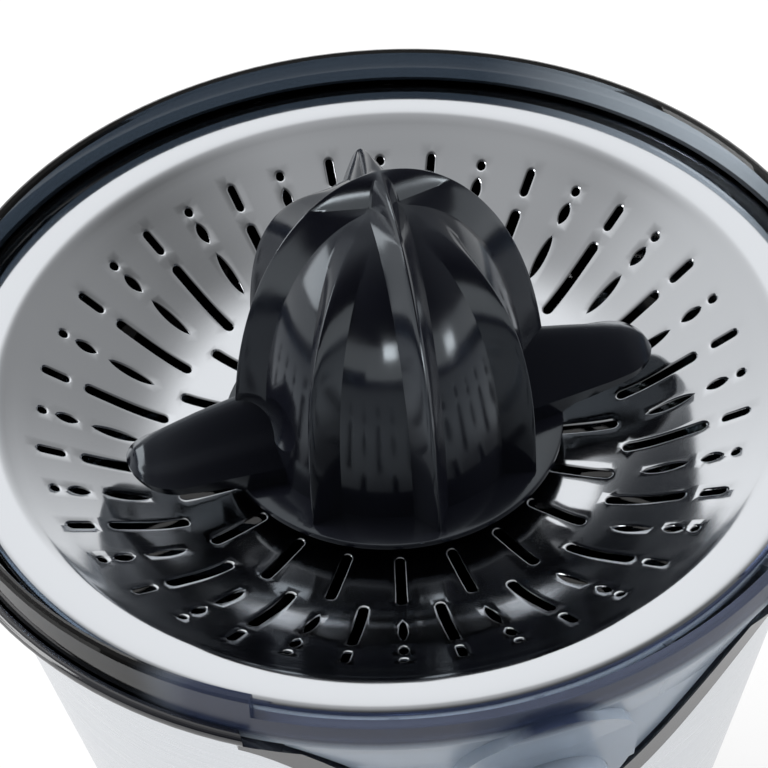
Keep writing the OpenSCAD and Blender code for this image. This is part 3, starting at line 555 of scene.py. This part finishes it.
def ribbed_dome_tree(sizes, material):
    """Dome with eight ribs: each column of a grid follows a rib's crest, flank or valley."""
    half = FLANK + VALLEY
    sector = 2 * half
    columns = RIBS * sector
    e = CREST_ROUNDING
    make = Maker("ribbed_dome")
    body_r = make.size("Body radius", sizes.body_radius)
    body_h = make.size("Body height", sizes.body_height)
    crest_r = make.size("Crest radius", sizes.crest_radius)
    main_h = make.size("Tip height", sizes.tip_height)
    short_h = make.size("Short rib height", sizes.short_height)
    width = make.size("Rib half width", sizes.rib_half_width)
    base_z = make.size("Flange height", FLANGE_Z)
    turn = make.size("Rib turn", sizes.rib_turn)

    grid = make.node("GeometryNodeMeshGrid", {
        "Size X": float(columns), "Size Y": float(ROWS),
        "Vertices X": columns + 1, "Vertices Y": ROWS + 1})
    place = make.node("ShaderNodeSeparateXYZ",
                      {"Vector": make.node("GeometryNodeInputPosition").outputs[0]})
    column = (Field(make.tree, place.outputs["X"]) + (columns / 2 + 0.25)).floor()
    row = (Field(make.tree, place.outputs["Y"]) + (ROWS / 2 + 0.25)).floor()

    sector_no = ((column + 0.25) / sector).floor()
    in_sector = column - sector_no * sector
    past_half = in_sector > half + 0.5
    rib_no = sector_no + past_half
    steps = in_sector.least(in_sector * -1.0 + sector)
    is_short = rib_no.modulo(2.0)

    height = main_h * ((row - 2.0).most(0.0) / (ROWS - 2) * (math.pi / 2)).sine()
    share = height / main_h
    dome = body_r * (((height / body_h) ** BODY_POWER) * -1.0 + 1.0).root()
    inner = dome.most(width * ((share ** CORE_POWER) * -2.0 + 2.0).root())
    top = main_h.mixed(short_h, is_short)
    taper = (height / top) ** (is_short * SHORT_EXTRA + CREST_POWER)
    crest = inner.most(crest_r * (taper * -1.0 + 1.0).root())
    foot = (width / inner.most(1e-5)).least(1.0).arcsine()
    foot_main = foot.least(WIDEST_FOOT)
    foot_short = foot.least(foot_main * -1.0 + FEET_TOGETHER)
    own = foot_main.mixed(foot_short, is_short)
    other = foot_short.mixed(foot_main, is_short)

    t = (steps / FLANK).least(1.0) ** FLANK_SPACING
    bend = ((t * t + e * e).root() - e) / rounding(e)
    on_valley = steps > FLANK + 0.5
    valley = (other * -1.0 - own + RIB_ANGLE) * 0.5 * ((steps - FLANK) / VALLEY)
    angle = own.mixed(own + valley, on_valley)
    x_foot, y_foot = inner * angle.cosine(), inner * angle.sine()
    x = crest.mixed(x_foot, bend.most(on_valley))
    y = y_foot * t.most(on_valley)
    y = y * (past_half * -2.0 + 1.0)
    shrink = row > 0.5
    x, y = x * shrink, y * shrink
    a = rib_no * RIB_ANGLE + turn
    z = base_z + height - ((row > 1.5) * -FOOT_STEP + FOOT_STEP)
    spot = make.node("ShaderNodeCombineXYZ", {
        "X": x * a.cosine() - y * a.sine(), "Y": x * a.sine() + y * a.cosine(), "Z": z})
    moved = make.node("GeometryNodeSetPosition",
                      {"Geometry": grid.outputs[0], "Position": spot.outputs[0]})
    joined = make.node("GeometryNodeMergeByDistance",
                       {"Geometry": moved.outputs[0], "Distance": GRID_MERGE})
    make.finish(joined.outputs[0], material)
    return make


def between(rows, r, k):
    """Column k of a table of rows at radius r."""
    for low, high in zip(rows, rows[1:]):
        if r <= high[0]:
            break
    t = (r - low[0]) / (high[0] - low[0])
    return low[k] + (high[k] - low[k]) * t


def closed_in(offset, r, start, span, power, tip):
    """An edge's offset, drawn in to the tip from a start radius on."""
    if r > start:
        offset = tip + (offset - tip) * math.sqrt(max(0.0, 1 - ((r - start) / span) ** power))
    return offset


def wing_mesh(name, sizes):
    """One wing as a loft: fine ridge on top, soft faces, crisp edges and a narrow underside."""
    reach = sizes.wing_reach / MM
    start, end = WING_STATIONS[0][0], WING_STATIONS[-1][0]
    e = RIDGE_ROUNDING
    base = FLANGE_Z / MM
    points, faces = [], []
    for i in range(WING_STEPS + 1):
        r = start + (end - start) * math.sin(math.pi / 2 * i / WING_STEPS)
        ridge, middle, under = (between(WING_STATIONS, r, k) for k in (1, 2, 3))
        left = closed_in(WING_LEFT, r, *LEFT_TIP)
        right = -(WING_RIGHT - RIGHT_TAPER * max(0.0, r - TAPER_START))
        right = closed_in(right, r, *RIGHT_TIP)
        middle = min(middle, left)
        edge = EDGE_HEIGHT + max(0.0, (r - EDGE_RISE_START) / (end - EDGE_RISE_START))
        edge = min(edge, ridge)
        row = []
        for side in range(-SIDE_STEPS, SIDE_STEPS + 1):
            u = (abs(side) / SIDE_STEPS) ** SIDE_SPACING
            drop = (math.sqrt(u * u + e * e) - e) / rounding(e)
            if side > 0:
                drop -= SWELL * math.exp(-((u - SWELL_PLACE) / SWELL_WIDTH) ** 2)
            y = middle + ((left if side > 0 else right) - middle) * u
            row.append((y, ridge - (ridge - edge) * drop))
        row += [(left - (left - middle) * k, under + lift) for k, lift in UNDER_SECTION]
        row += [(right - (right - middle) * k, under + lift)
                for k, lift in reversed(UNDER_SECTION)]
        points += [(r * reach / end, y, base + z) for y, z in row]
    ring = len(row)
    for i in range(WING_STEPS):
        for j in range(ring):
            a, b = i * ring + j, i * ring + (j + 1) % ring
            faces.append((a, b, b + ring, a + ring))
    faces.append(tuple(range(ring)))
    faces.append(tuple(WING_STEPS * ring + j for j in reversed(range(ring))))
    obj = mesh_object(name, [tuple(c * MM for c in p) for p in points], faces)
    tidy_normals(obj)
    return obj


def wing_tree(sizes, material):
    """Two wings, opposite each other."""
    make = Maker("cone_wings")
    turn = make.size("Wing turn", sizes.wing_turn)
    copies = turned_copies(make, make.start.outputs[0], 2, turn)
    make.finish(copies, material)
    return make


def scoop_ball(angle, top):
    """Ball that hollows the dome beside a wing."""
    bm = bmesh.new()
    bmesh.ops.create_icosphere(bm, subdivisions=5, radius=SCOOP_RADIUS * MM)
    spot = Vector((SCOOP_REACH * MM * math.cos(angle), SCOOP_REACH * MM * math.sin(angle),
                   (top + SCOOP_RISE) * MM))
    bmesh.ops.translate(bm, verts=bm.verts, vec=spot)
    scoop = mesh_object("scoop", [], [])
    bm.to_mesh(scoop.data)
    bm.free()
    return scoop


def flange_disc(edge, top):
    """Round flange with a softened edge, in millimetres."""
    return lathe("flange", [
        (0.5, top - 1.6), (edge - 0.3, top - 1.6), (edge, top - 1.3), (edge, top - 0.4),
        (edge - 0.12, top - 0.12), (edge - 0.4, top), (20.0, top + 0.02), (0.5, top + 0.02)])


def cavity_core(top):
    """Core of the hollow under the dome, which leaves the hub and its bore."""
    shell = [(CAVITY_RADIUS, top - 3), (CAVITY_RADIUS, top - 1)]
    for i in range(CAVITY_STEPS + 1):
        h = CAVITY_HEIGHT * math.sin(CAVITY_END * i / CAVITY_STEPS)
        inset = max(0.0, 1 - (h / CAVITY_HEIGHT) ** CAVITY_POWER)
        shell.append((CAVITY_RADIUS * math.sqrt(inset), top + h))
    shell = [p for p in shell if p[0] > HUB_RADIUS + 0.2]
    hub_z = top + HUB_FOOT
    shell += [(HUB_RADIUS, shell[-1][1]), (HUB_RADIUS, hub_z), (BORE_RADIUS, hub_z),
              (BORE_RADIUS, top + BORE_TOP), (CORE_AXIS, top + BORE_TOP), (CORE_AXIS, top - 3)]
    return lathe("cavity", shell)


class JUICER_OT_press_cone(bpy.types.Operator):
    """Ribbed press cone with two wings, flange, cavity and hub"""
    bl_idname = "juicer.press_cone"
    bl_label = "Press Cone"

    def execute(self, context):
        sizes = context.scene.juicer_cone
        material = material_named("cone_plastic")
        top = FLANGE_Z / MM
        cone = mesh_object("press_cone_moulding", [], [])
        ribbed_dome_tree(sizes, material).put_on(cone)
        freeze(cone)
        tidy_normals(cone)
        wings = wing_mesh("cone_wings", sizes)
        wing_tree(sizes, material).put_on(wings)
        freeze(wings)
        tidy_normals(wings)
        for side in (0.0, math.pi):
            cut(cone, scoop_ball(sizes.rib_turn + side + SCOOP_TURN, top))
        cut(cone, wings, "UNION")
        cut(cone, flange_disc(sizes.flange_radius / MM, top), "UNION")
        cut(cone, cavity_core(top))
        tidy_normals(cone)
        paint(cone.data, "cone_plastic")
        for face in cone.data.polygons:
            face.material_index = 0
        shade(cone, 26)
        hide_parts("press_cone")
        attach(cone, "cone")
        return {"FINISHED"}


# ----------------------------------------------------------- return spring

def spring_tree(sizes, material):
    """Round wire along a helix between the spring's two seats."""
    low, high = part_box("return_spring")
    make = Maker("spring_wire")
    wire = make.size("Wire radius", sizes.wire_radius)
    turns = make.size("Turns", sizes.turns)
    outer = make.size("Outer radius", high.x)
    foot = make.size("Foot height", low.z)
    height = make.size("Height", high.z - low.z)
    helix = make.node("GeometryNodeCurveSpiral", {
        "Resolution": 40, "Rotations": turns, "Start Radius": outer - wire,
        "End Radius": outer - wire, "Height": height - wire * 2.0})
    ring = make.node("GeometryNodeCurvePrimitiveCircle", {"Resolution": 12, "Radius": wire})
    coil = make.node("GeometryNodeCurveToMesh", {
        "Curve": helix.outputs[0], "Profile Curve": ring.outputs[0], "Fill Caps": True})
    lift = make.node("ShaderNodeCombineXYZ", {"Z": foot + wire})
    raised = make.node("GeometryNodeSetPosition",
                       {"Geometry": coil.outputs[0], "Offset": lift.outputs[0]})
    make.finish(raised.outputs[0], material)
    return make


class JUICER_OT_return_spring(bpy.types.Operator):
    """Helical return spring between its two seats"""
    bl_idname = "juicer.return_spring"
    bl_label = "Return Spring"

    def execute(self, context):
        sizes = context.scene.juicer_spring
        spring = mesh_object("return_spring_wire", [], [])
        spring_tree(sizes, material_named("bright_steel")).put_on(spring)
        freeze(spring)
        tidy_normals(spring)
        shade(spring, 40)
        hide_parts("return_spring")
        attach(spring, "output")
        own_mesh(spring)
        return {"FINISHED"}


# ---------------------------------------------------------------- strainer

# Pressed section of the dish: distance along the sheet, radius and height from the rim
DISH_SECTION = [
    (11.6, 14.1, -17.0), (13.6, 14.1, -19.0), (14.2, 14.3, -19.7), (15.0, 15.0, -20.0),
    (30.0, 30.0, -20.0), (36.0, 36.0, -19.95), (41.0, 41.0, -19.75), (46.0, 46.0, -19.42),
    (49.0, 49.0, -18.98), (52.0, 52.0, -18.25), (55.0, 55.0, -17.2), (58.0, 58.0, -15.9),
    (62.0, 62.0, -13.85), (70.0, 70.0, -9.26), (77.8, 77.8, -4.7), (82.0, 82.0, -2.15),
    (85.0, 85.0, -0.35), (86.5, 86.5, 0.62), (87.9, 87.9, 1.34), (89.4, 89.4, 1.68),
    (91.0, 91.0, 1.79), (92.8, 92.8, 1.8), (94.4, 94.3, 1.68), (95.6, 95.4, 1.45),
    (96.5, 96.1, 1.0), (97.3, 96.5, 0.35), (98.1, 96.65, -0.45), (99.1, 96.7, -1.4)]
CORNER = 0.25  # where the slope changes by more than this, the section keeps a corner

# Rings of the grid: the first ones, then spans as start, end and number of rings
FIRST_RINGS = [11.6, 12.6, 13.6, 14.2, 15.0]
RING_SPANS = [(15, 34, 5), (34, 85, 32), (85, 99.1, 24)]
SECTOR_COLUMNS = 8
# Rings round a slot: how far out, and share of the edge's roll that is left there
SLOT_RINGS = [(0.22, 0.3), (0.5, 0.0)]
SLOT_MARGIN = 0.95  # no grid points nearer to a slot than this
SIDE_STEP = 2.2  # about how far apart the points on a slot's straight sides are
LENS_POWER = 0.85  # fullness of a lens slot's sides
LENS_MERGE = 0.02  # points of a lens slot nearer than this are one
SEAM = 0.01 * MM  # points of two sectors nearer than this are one


def dish_place(s):
    """Radius and height on the dish section at distance s, on a smooth curve."""
    rows = DISH_SECTION
    s = min(max(s, rows[0][0]), rows[-1][0])
    for i in range(len(rows) - 1):
        if s <= rows[i + 1][0]:
            break
    p0, p1, p2, p3 = rows[max(i - 1, 0)], rows[i], rows[i + 1], rows[min(i + 2, len(rows) - 1)]
    span = p2[0] - p1[0]
    t = (s - p1[0]) / span
    out = []
    for k in (1, 2):
        m1 = (p2[k] - p0[k]) / (p2[0] - p0[0])
        m2 = (p3[k] - p1[k]) / (p3[0] - p1[0])
        d = (p2[k] - p1[k]) / span
        if abs(m1 - d) > CORNER:
            m1 = d
        if abs(m2 - d) > CORNER:
            m2 = d
        out.append((2 * t**3 - 3 * t**2 + 1) * p1[k] + (t**3 - 2 * t**2 + t) * span * m1
                   + (-2 * t**3 + 3 * t**2) * p2[k] + (t**3 - t**2) * span * m2)
    return out


def capsule(r0, r1, width, grow, arc=7):
    """Outline of a slot with round ends along X."""
    w = width / 2 + grow
    a, b = r0 + width / 2, r1 - width / 2
    left = [(a - w * math.sin(math.pi * i / arc), w * math.cos(math.pi * i / arc))
            for i in range(arc + 1)]
    right = [(b + w * math.sin(math.pi * i / arc), -w * math.cos(math.pi * i / arc))
             for i in range(arc + 1)]
    n = max(1, round((b - a) / SIDE_STEP))
    low = [(a + (b - a) * i / n, -w) for i in range(1, n)]
    high = [(b + (a - b) * i / n, w) for i in range(1, n)]
    return left + low + right + high


def lens(r0, r1, width, grow, steps=9):
    """Outline of a lens slot with narrow ends along X."""
    half, w = (r1 - r0) / 2, width / 2
    mid = (r0 + r1) / 2
    outline = []
    for side in (1, -1):
        for i in range(steps + (side > 0)):
            u = -1 + 2 * (i if side > 0 else i + 1) / (steps + (side < 0))
            outline.append((side * u, side * w * (1 - u * u) ** LENS_POWER))
    points = [(mid + x * (half + grow), y * (w + grow) / w) for x, y in outline]
    return [p for i, p in enumerate(points)
            if i == 0 or math.dist(p, points[i - 1]) > LENS_MERGE]


def round_hole(r, width, grow, steps=14):
    """Outline of a round hole centred at r on X."""
    w = width / 2 + grow
    return [(r + w * math.cos(2 * math.pi * i / steps), w * math.sin(2 * math.pi * i / steps))
            for i in range(steps)]


# Slots of a sector in millimetres: ray, outline, its ends or centre from the axis, and how much
# narrower it is than the long slots
SLOTS = [
    (0.0, capsule, (73.3, 79.3), 0.4), (0.0, capsule, (51.6, 70.0), 0.0),
    (0.5, round_hole, (77.8,), 0.3), (0.5, lens, (70.2, 75.0), 0.1),
    (0.5, lens, (57.1, 67.4), 0.3), (0.5, capsule, (36.0, 50.5), 0.0)]


def turned(points, angle):
    """Flat points, turned about the origin."""
    return [(x * math.cos(angle) - y * math.sin(angle), x * math.sin(angle) + y * math.cos(angle))
            for x, y in points]


def inside(point, outline):
    """Is a point inside a closed outline?"""
    x, y = point
    hit = False
    for i in range(len(outline)):
        (x0, y0), (x1, y1) = outline[i - 1], outline[i]
        if (y0 > y) != (y1 > y) and x < x0 + (y - y0) * (x1 - x0) / (y1 - y0):
            hit = not hit
    return hit


def dish_sector(name, sizes):
    """One sector of the dish: two rays of slots with rolled edges, on a fine grid."""
    slot_width, roll = sizes.slot_width / MM, sizes.edge_roll / MM
    angle = 2 * math.pi / sizes.rays
    start = -angle / 4
    coords, drops, edges = [], [], []

    def loop(outline, drop):
        """Adds a closed loop of points and returns its stored corners."""
        first, n = len(coords), len(outline)
        coords.extend(Vector(p) for p in outline)
        drops.extend([drop] * n)
        edges.extend((first + i, first + (i + 1) % n) for i in range(n))
        return [tuple(c) for c in coords[first:]]

    holes, margins = [], []
    for ray, outline, ends, narrower in SLOTS:
        turn, width = ray * angle, slot_width - narrower
        holes.append(loop(turned(outline(*ends, width, 0.0), turn), roll))
        for grow, share in SLOT_RINGS:
            loop(turned(outline(*ends, width, grow), turn), roll * share)
        margins.append(turned(outline(*ends, width, SLOT_MARGIN), turn))
    radii = list(FIRST_RINGS)
    for low, high, count in RING_SPANS:
        radii += [low + (high - low) * i / count for i in range(1, count + 1)]
    border = {0: [], SECTOR_COLUMNS: []}
    for s in radii:
        for c in range(SECTOR_COLUMNS + 1):
            a = start + angle * c / SECTOR_COLUMNS
            p = (s * math.cos(a), s * math.sin(a))
            edge_on = c in border or s in (radii[0], radii[-1])
            if not edge_on and any(inside(p, m) for m in margins):
                continue
            if c in border:
                border[c].append(len(coords))
            coords.append(Vector(p))
            drops.append(0.0)
    for chain in border.values():
        edges.extend(zip(chain, chain[1:]))
    points, _, faces, origin, *_ = delaunay_2d_cdt(coords, edges, [], 0, 1e-5, True)
    kept = []
    for face in faces:
        centre = tuple(sum(points[i][k] for i in face) / len(face) for k in (0, 1))
        angles = [math.atan2(points[i].y, points[i].x) for i in face]
        reach = [points[i].length for i in face]
        flat = max(angles) - min(angles) < 1e-4 or max(reach) - min(reach) < 1e-3
        if not flat and not any(inside(centre, hole) for hole in holes):
            kept.append(face)
    placed = []
    for point, sources in zip(points, origin):
        s, a = point.length, math.atan2(point[1], point[0])
        r, z = dish_place(s)
        drop = drops[sources[0]] if sources else 0.0
        placed.append((r * MM * math.cos(a), r * MM * math.sin(a), RIM_Z + (z - drop) * MM))
    return mesh_object(name, placed, kept)


class JUICER_OT_strainer(bpy.types.Operator):
    """Perforated strainer with rolled slot edges and a pressed rim"""
    bl_idname = "juicer.strainer"
    bl_label = "Strainer"

    def execute(self, context):
        sizes = context.scene.juicer_strainer
        dish = dish_sector("strainer_dish", sizes)
        make = Maker("strainer_rays")
        turn = make.size("Turn", sizes.turn)
        copies = turned_copies(make, make.start.outputs[0], sizes.rays, turn)
        real = make.node("GeometryNodeRealizeInstances", {"Geometry": copies})
        seam = make.node("GeometryNodeMergeByDistance",
                         {"Geometry": real.outputs[0], "Distance": SEAM})
        make.finish(seam.outputs[0], material_named("pressed_steel"))
        make.put_on(dish)
        freeze(dish)
        bm = bmesh.new()
        bm.from_mesh(dish.data)
        bmesh.ops.remove_doubles(bm, verts=bm.verts, dist=SEAM)
        bmesh.ops.recalc_face_normals(bm, faces=bm.faces)
        if sum(f.normal.z for f in bm.faces) < 0:
            bmesh.ops.reverse_faces(bm, faces=bm.faces)
        bm.to_mesh(dish.data)
        bm.free()
        wall = dish.modifiers.new("sheet", "SOLIDIFY")
        wall.thickness = sizes.sheet
        wall.offset = -1.0
        wall.use_even_offset = False
        freeze(dish)
        shade(dish, 50)
        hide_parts("strainer")
        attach(dish, "strainer")
        return {"FINISHED"}


# ------------------------------------------------------------------- stage

# Camera: turn from the front, tilt down and roll in radians, distance from the rim's centre in
# metres, small turns of its aim to the right and up, lens and sensor in millimetres
CAMERA_TURN, CAMERA_TILT, CAMERA_ROLL = math.radians(-16.0), 0.78576, -0.0601
CAMERA_DISTANCE, AIM_RIGHT, AIM_UP = 0.7179, -0.0021, -0.0024
CAMERA_LENS, CAMERA_SENSOR = 152.1, 36.0

# The studio's own directions: straight behind the object and to its right
BEHIND, RIGHT = Vector((0.276, 0.961, 0.0)), Vector((0.961, -0.276, 0.0))
# Level of the reflected room from straight behind (0) to straight in front (1)
ROOM_STOPS = [(0.0, 1.0), (0.32, 0.93), (0.5, 0.45), (0.61, 0.37), (0.8, 0.14), (0.93, 0.02),
              (1.0, 0.0)]
SURROUND_STRENGTH = 0.5
FLOOR_HALF = 6.0

# Lamps that light but aren't mirrored: name, place, size, power
LIT_FROM = (
    ("key_lamp", (-0.5, 0.35, 0.95), (0.5, 0.5), 9.0),
    ("side_lamp", (0.75, -0.1, 0.6), (0.35, 0.6), 5.0))
LIT_POINT = (0, 0, 0.18)
# Mirrored boxes: name, turn from straight behind and rise in degrees, size, glow
MIRRORED = (
    ("left_box", -95, 14, (0.42, 0.42), 3.6),
    ("front_spot", 180, -3, (0.14, 0.1), 8.5),
    ("right_spot", 126, -9, (0.13, 0.1), 7.5))
MIRRORED_POINT, MIRRORED_REACH = (0, 0, 0.21), 0.9


def camera_at(rim_z):
    """Camera that looks down on the rim from the front."""
    turn, tilt, roll = CAMERA_TURN, CAMERA_TILT, CAMERA_ROLL
    back = Vector((math.sin(turn) * math.cos(tilt), -math.cos(turn) * math.cos(tilt),
                   math.sin(tilt)))
    right = Vector((math.cos(turn), math.sin(turn), 0.0))
    up = right.cross(-back)
    ahead = (-back + right * AIM_RIGHT + up * AIM_UP).normalized()
    right = ahead.cross(Vector((0, 0, 1))).normalized()
    up = right.cross(ahead)
    across = right * math.cos(roll) + up * math.sin(roll)
    upward = up * math.cos(roll) - right * math.sin(roll)
    data = bpy.data.cameras.new("camera")
    data.sensor_width = CAMERA_SENSOR
    data.lens = CAMERA_LENS
    data.clip_start, data.clip_end = 0.01, 20.0
    camera = bpy.data.objects.new("camera", data)
    matrix = Matrix.Identity(4)
    for i, axis in enumerate((across, upward, -ahead)):
        for k in range(3):
            matrix[k][i] = axis[k]
    matrix.translation = back * CAMERA_DISTANCE + Vector((0, 0, rim_z))
    camera.matrix_world = matrix
    bpy.context.scene.collection.objects.link(camera)
    bpy.context.scene.camera = camera


def soft_lamp(name, place, target, size, power, mirrored=False):
    """A soft lamp at a place, turned to a target, and shown in reflections or not."""
    data = bpy.data.lights.new(name, "AREA")
    data.shape = "RECTANGLE"
    data.size, data.size_y = size
    data.energy = power
    lamp = bpy.data.objects.new(name, data)
    aim = Vector(target) - Vector(place)
    lamp.rotation_mode = "QUATERNION"
    lamp.rotation_quaternion = aim.to_track_quat("-Z", "Y")
    lamp.location = place
    lamp.visible_glossy = mirrored
    lamp.visible_camera = False
    bpy.context.scene.collection.objects.link(lamp)


def seen_from(centre, turn, rise, reach):
    """A place round the object: turned from straight behind it, and raised, in degrees."""
    a, e = math.radians(turn), math.radians(rise)
    way = (BEHIND * math.cos(a) + RIGHT * math.sin(a)) * math.cos(e)
    return Vector(centre) + (way + Vector((0, 0, math.sin(e)))) * reach


def pale_surround(strength):
    """White backdrop behind, seen in reflections too, that falls off to a dim room in front."""
    world = bpy.data.worlds.new("studio")
    bpy.context.scene.world = world
    world.use_nodes = True
    tree = world.node_tree
    path = add_node(tree, "ShaderNodeLightPath")
    place = add_node(tree, "ShaderNodeTexCoord")

    def along(axis):
        """How far the seen direction points along an axis, from -1 to 1."""
        node = add_node(tree, "ShaderNodeVectorMath",
                        {0: place.outputs["Generated"], 1: axis}, operation="DOT_PRODUCT")
        return Field(tree, node.outputs["Value"])

    depth = along(-BEHIND).ramp(-1.0, 1.0, shape="LINEAR")
    room = add_node(tree, "ShaderNodeFloatCurve", {"Value": depth})
    curve = room.mapping.curves[0]
    for i, (at, height) in enumerate(ROOM_STOPS):
        if i < 2:  # a new curve has two points
            curve.points[i].location = (at, height)
        else:
            curve.points.new(at, height)
    room.mapping.update()
    aside = along(RIGHT)
    sides = aside.ramp(0.2, 0.62, 1.0, 0.3) * aside.ramp(-0.3, -0.65, 1.0, 0.72)
    dimmed = Field(tree, room.outputs["Value"]) * sides
    mirrored = Field(tree, path.outputs["Is Glossy Ray"]).choose(strength, dimmed, "FLOAT")
    seen = Field(tree, path.outputs["Is Camera Ray"]).most(path.outputs["Is Transmission Ray"])
    background = tree.nodes["Background"]
    feed(tree, background.inputs["Strength"], seen.choose(mirrored, 1.0, "FLOAT"))
    background.inputs["Color"].default_value = (1, 1, 1, 1)


def white_floor(colour):
    """Floor that keeps the soft shadow but reads as white."""
    size = FLOOR_HALF
    corners = [(-size, -size, 0), (size, -size, 0), (size, size, 0), (-size, size, 0)]
    floor = mesh_object("floor", corners, [(0, 1, 2, 3)])
    tree, shader = new_material("floor_paper", Base_Color=colour, Roughness=0.7)
    add_roughness(shader, add_noise(tree, 4), 0.62, 0.78)
    path = add_node(tree, "ShaderNodeLightPath")
    through = Field(tree, path.outputs["Is Transmission Ray"]).most(path.outputs["Is Glossy Ray"])
    shown = Field(tree, path.outputs["Is Camera Ray"]).most(through)
    glow = add_node(tree, "ShaderNodeEmission")
    mix = add_node(tree, "ShaderNodeMixShader",
                   {0: shown * FLOOR_GLOW, 1: shader.outputs[0], 2: glow.outputs[0]})
    feed(tree, tree.nodes["Material Output"].inputs["Surface"], mix.outputs[0])
    paint(floor.data, "floor_paper")


class JUICER_OT_stage(bpy.types.Operator):
    """Floor, soft lamps, pale surround and camera"""
    bl_idname = "juicer.stage"
    bl_label = "Stage"

    def execute(self, context):
        camera_at(RIM_Z)
        white_floor(tuple(context.scene.juicer_finishes.floor))
        pale_surround(SURROUND_STRENGTH)
        for name, place, size, power in LIT_FROM:
            soft_lamp(name, place, LIT_POINT, size, power)
        for name, turn, rise, size, glow in MIRRORED:
            place = seen_from(MIRRORED_POINT, turn, rise, MIRRORED_REACH)
            power = glow * math.pi * size[0] * size[1]
            soft_lamp(name, place, MIRRORED_POINT, size, power, True)
        context.scene.view_settings.view_transform = "Standard"
        return {"FINISHED"}


# ------------------------------------------------------------------ add-on

GROUPS = {
    "juicer_cone": JuicerConeSizes, "juicer_spring": JuicerSpringSizes,
    "juicer_strainer": JuicerStrainerSizes, "juicer_finishes": JuicerFinishes}
STEPS = (JUICER_OT_finishes, JUICER_OT_strainer, JUICER_OT_press_cone, JUICER_OT_return_spring,
         JUICER_OT_stage)


class JUICER_PT_panel(bpy.types.Panel):
    """Lists the steps that build the juicer"""
    bl_label = "Citrus Press Juicer"
    bl_idname = "JUICER_PT_panel"
    bl_space_type = "VIEW_3D"
    bl_region_type = "UI"
    bl_category = "Juicer"

    def draw(self, context):
        for step in STEPS:
            self.layout.operator(step.bl_idname)
        for key in GROUPS:
            group = getattr(context.scene, key)
            box = self.layout.box()
            for name in group.__annotations__:
                box.prop(group, name)


def register():
    for item in (*GROUPS.values(), *STEPS, JUICER_PT_panel):
        bpy.utils.register_class(item)
    for key, group in GROUPS.items():
        setattr(bpy.types.Scene, key, PointerProperty(type=group))


def unregister():
    for key in GROUPS:
        delattr(bpy.types.Scene, key)
    for item in reversed((*GROUPS.values(), *STEPS, JUICER_PT_panel)):
        bpy.utils.unregister_class(item)


def main():
    register()
    bpy.ops.juicer.finishes()
    bpy.ops.juicer.strainer()
    bpy.ops.juicer.press_cone()
    bpy.ops.juicer.return_spring()
    bpy.ops.juicer.stage()


if __name__ == "__main__":
    main()
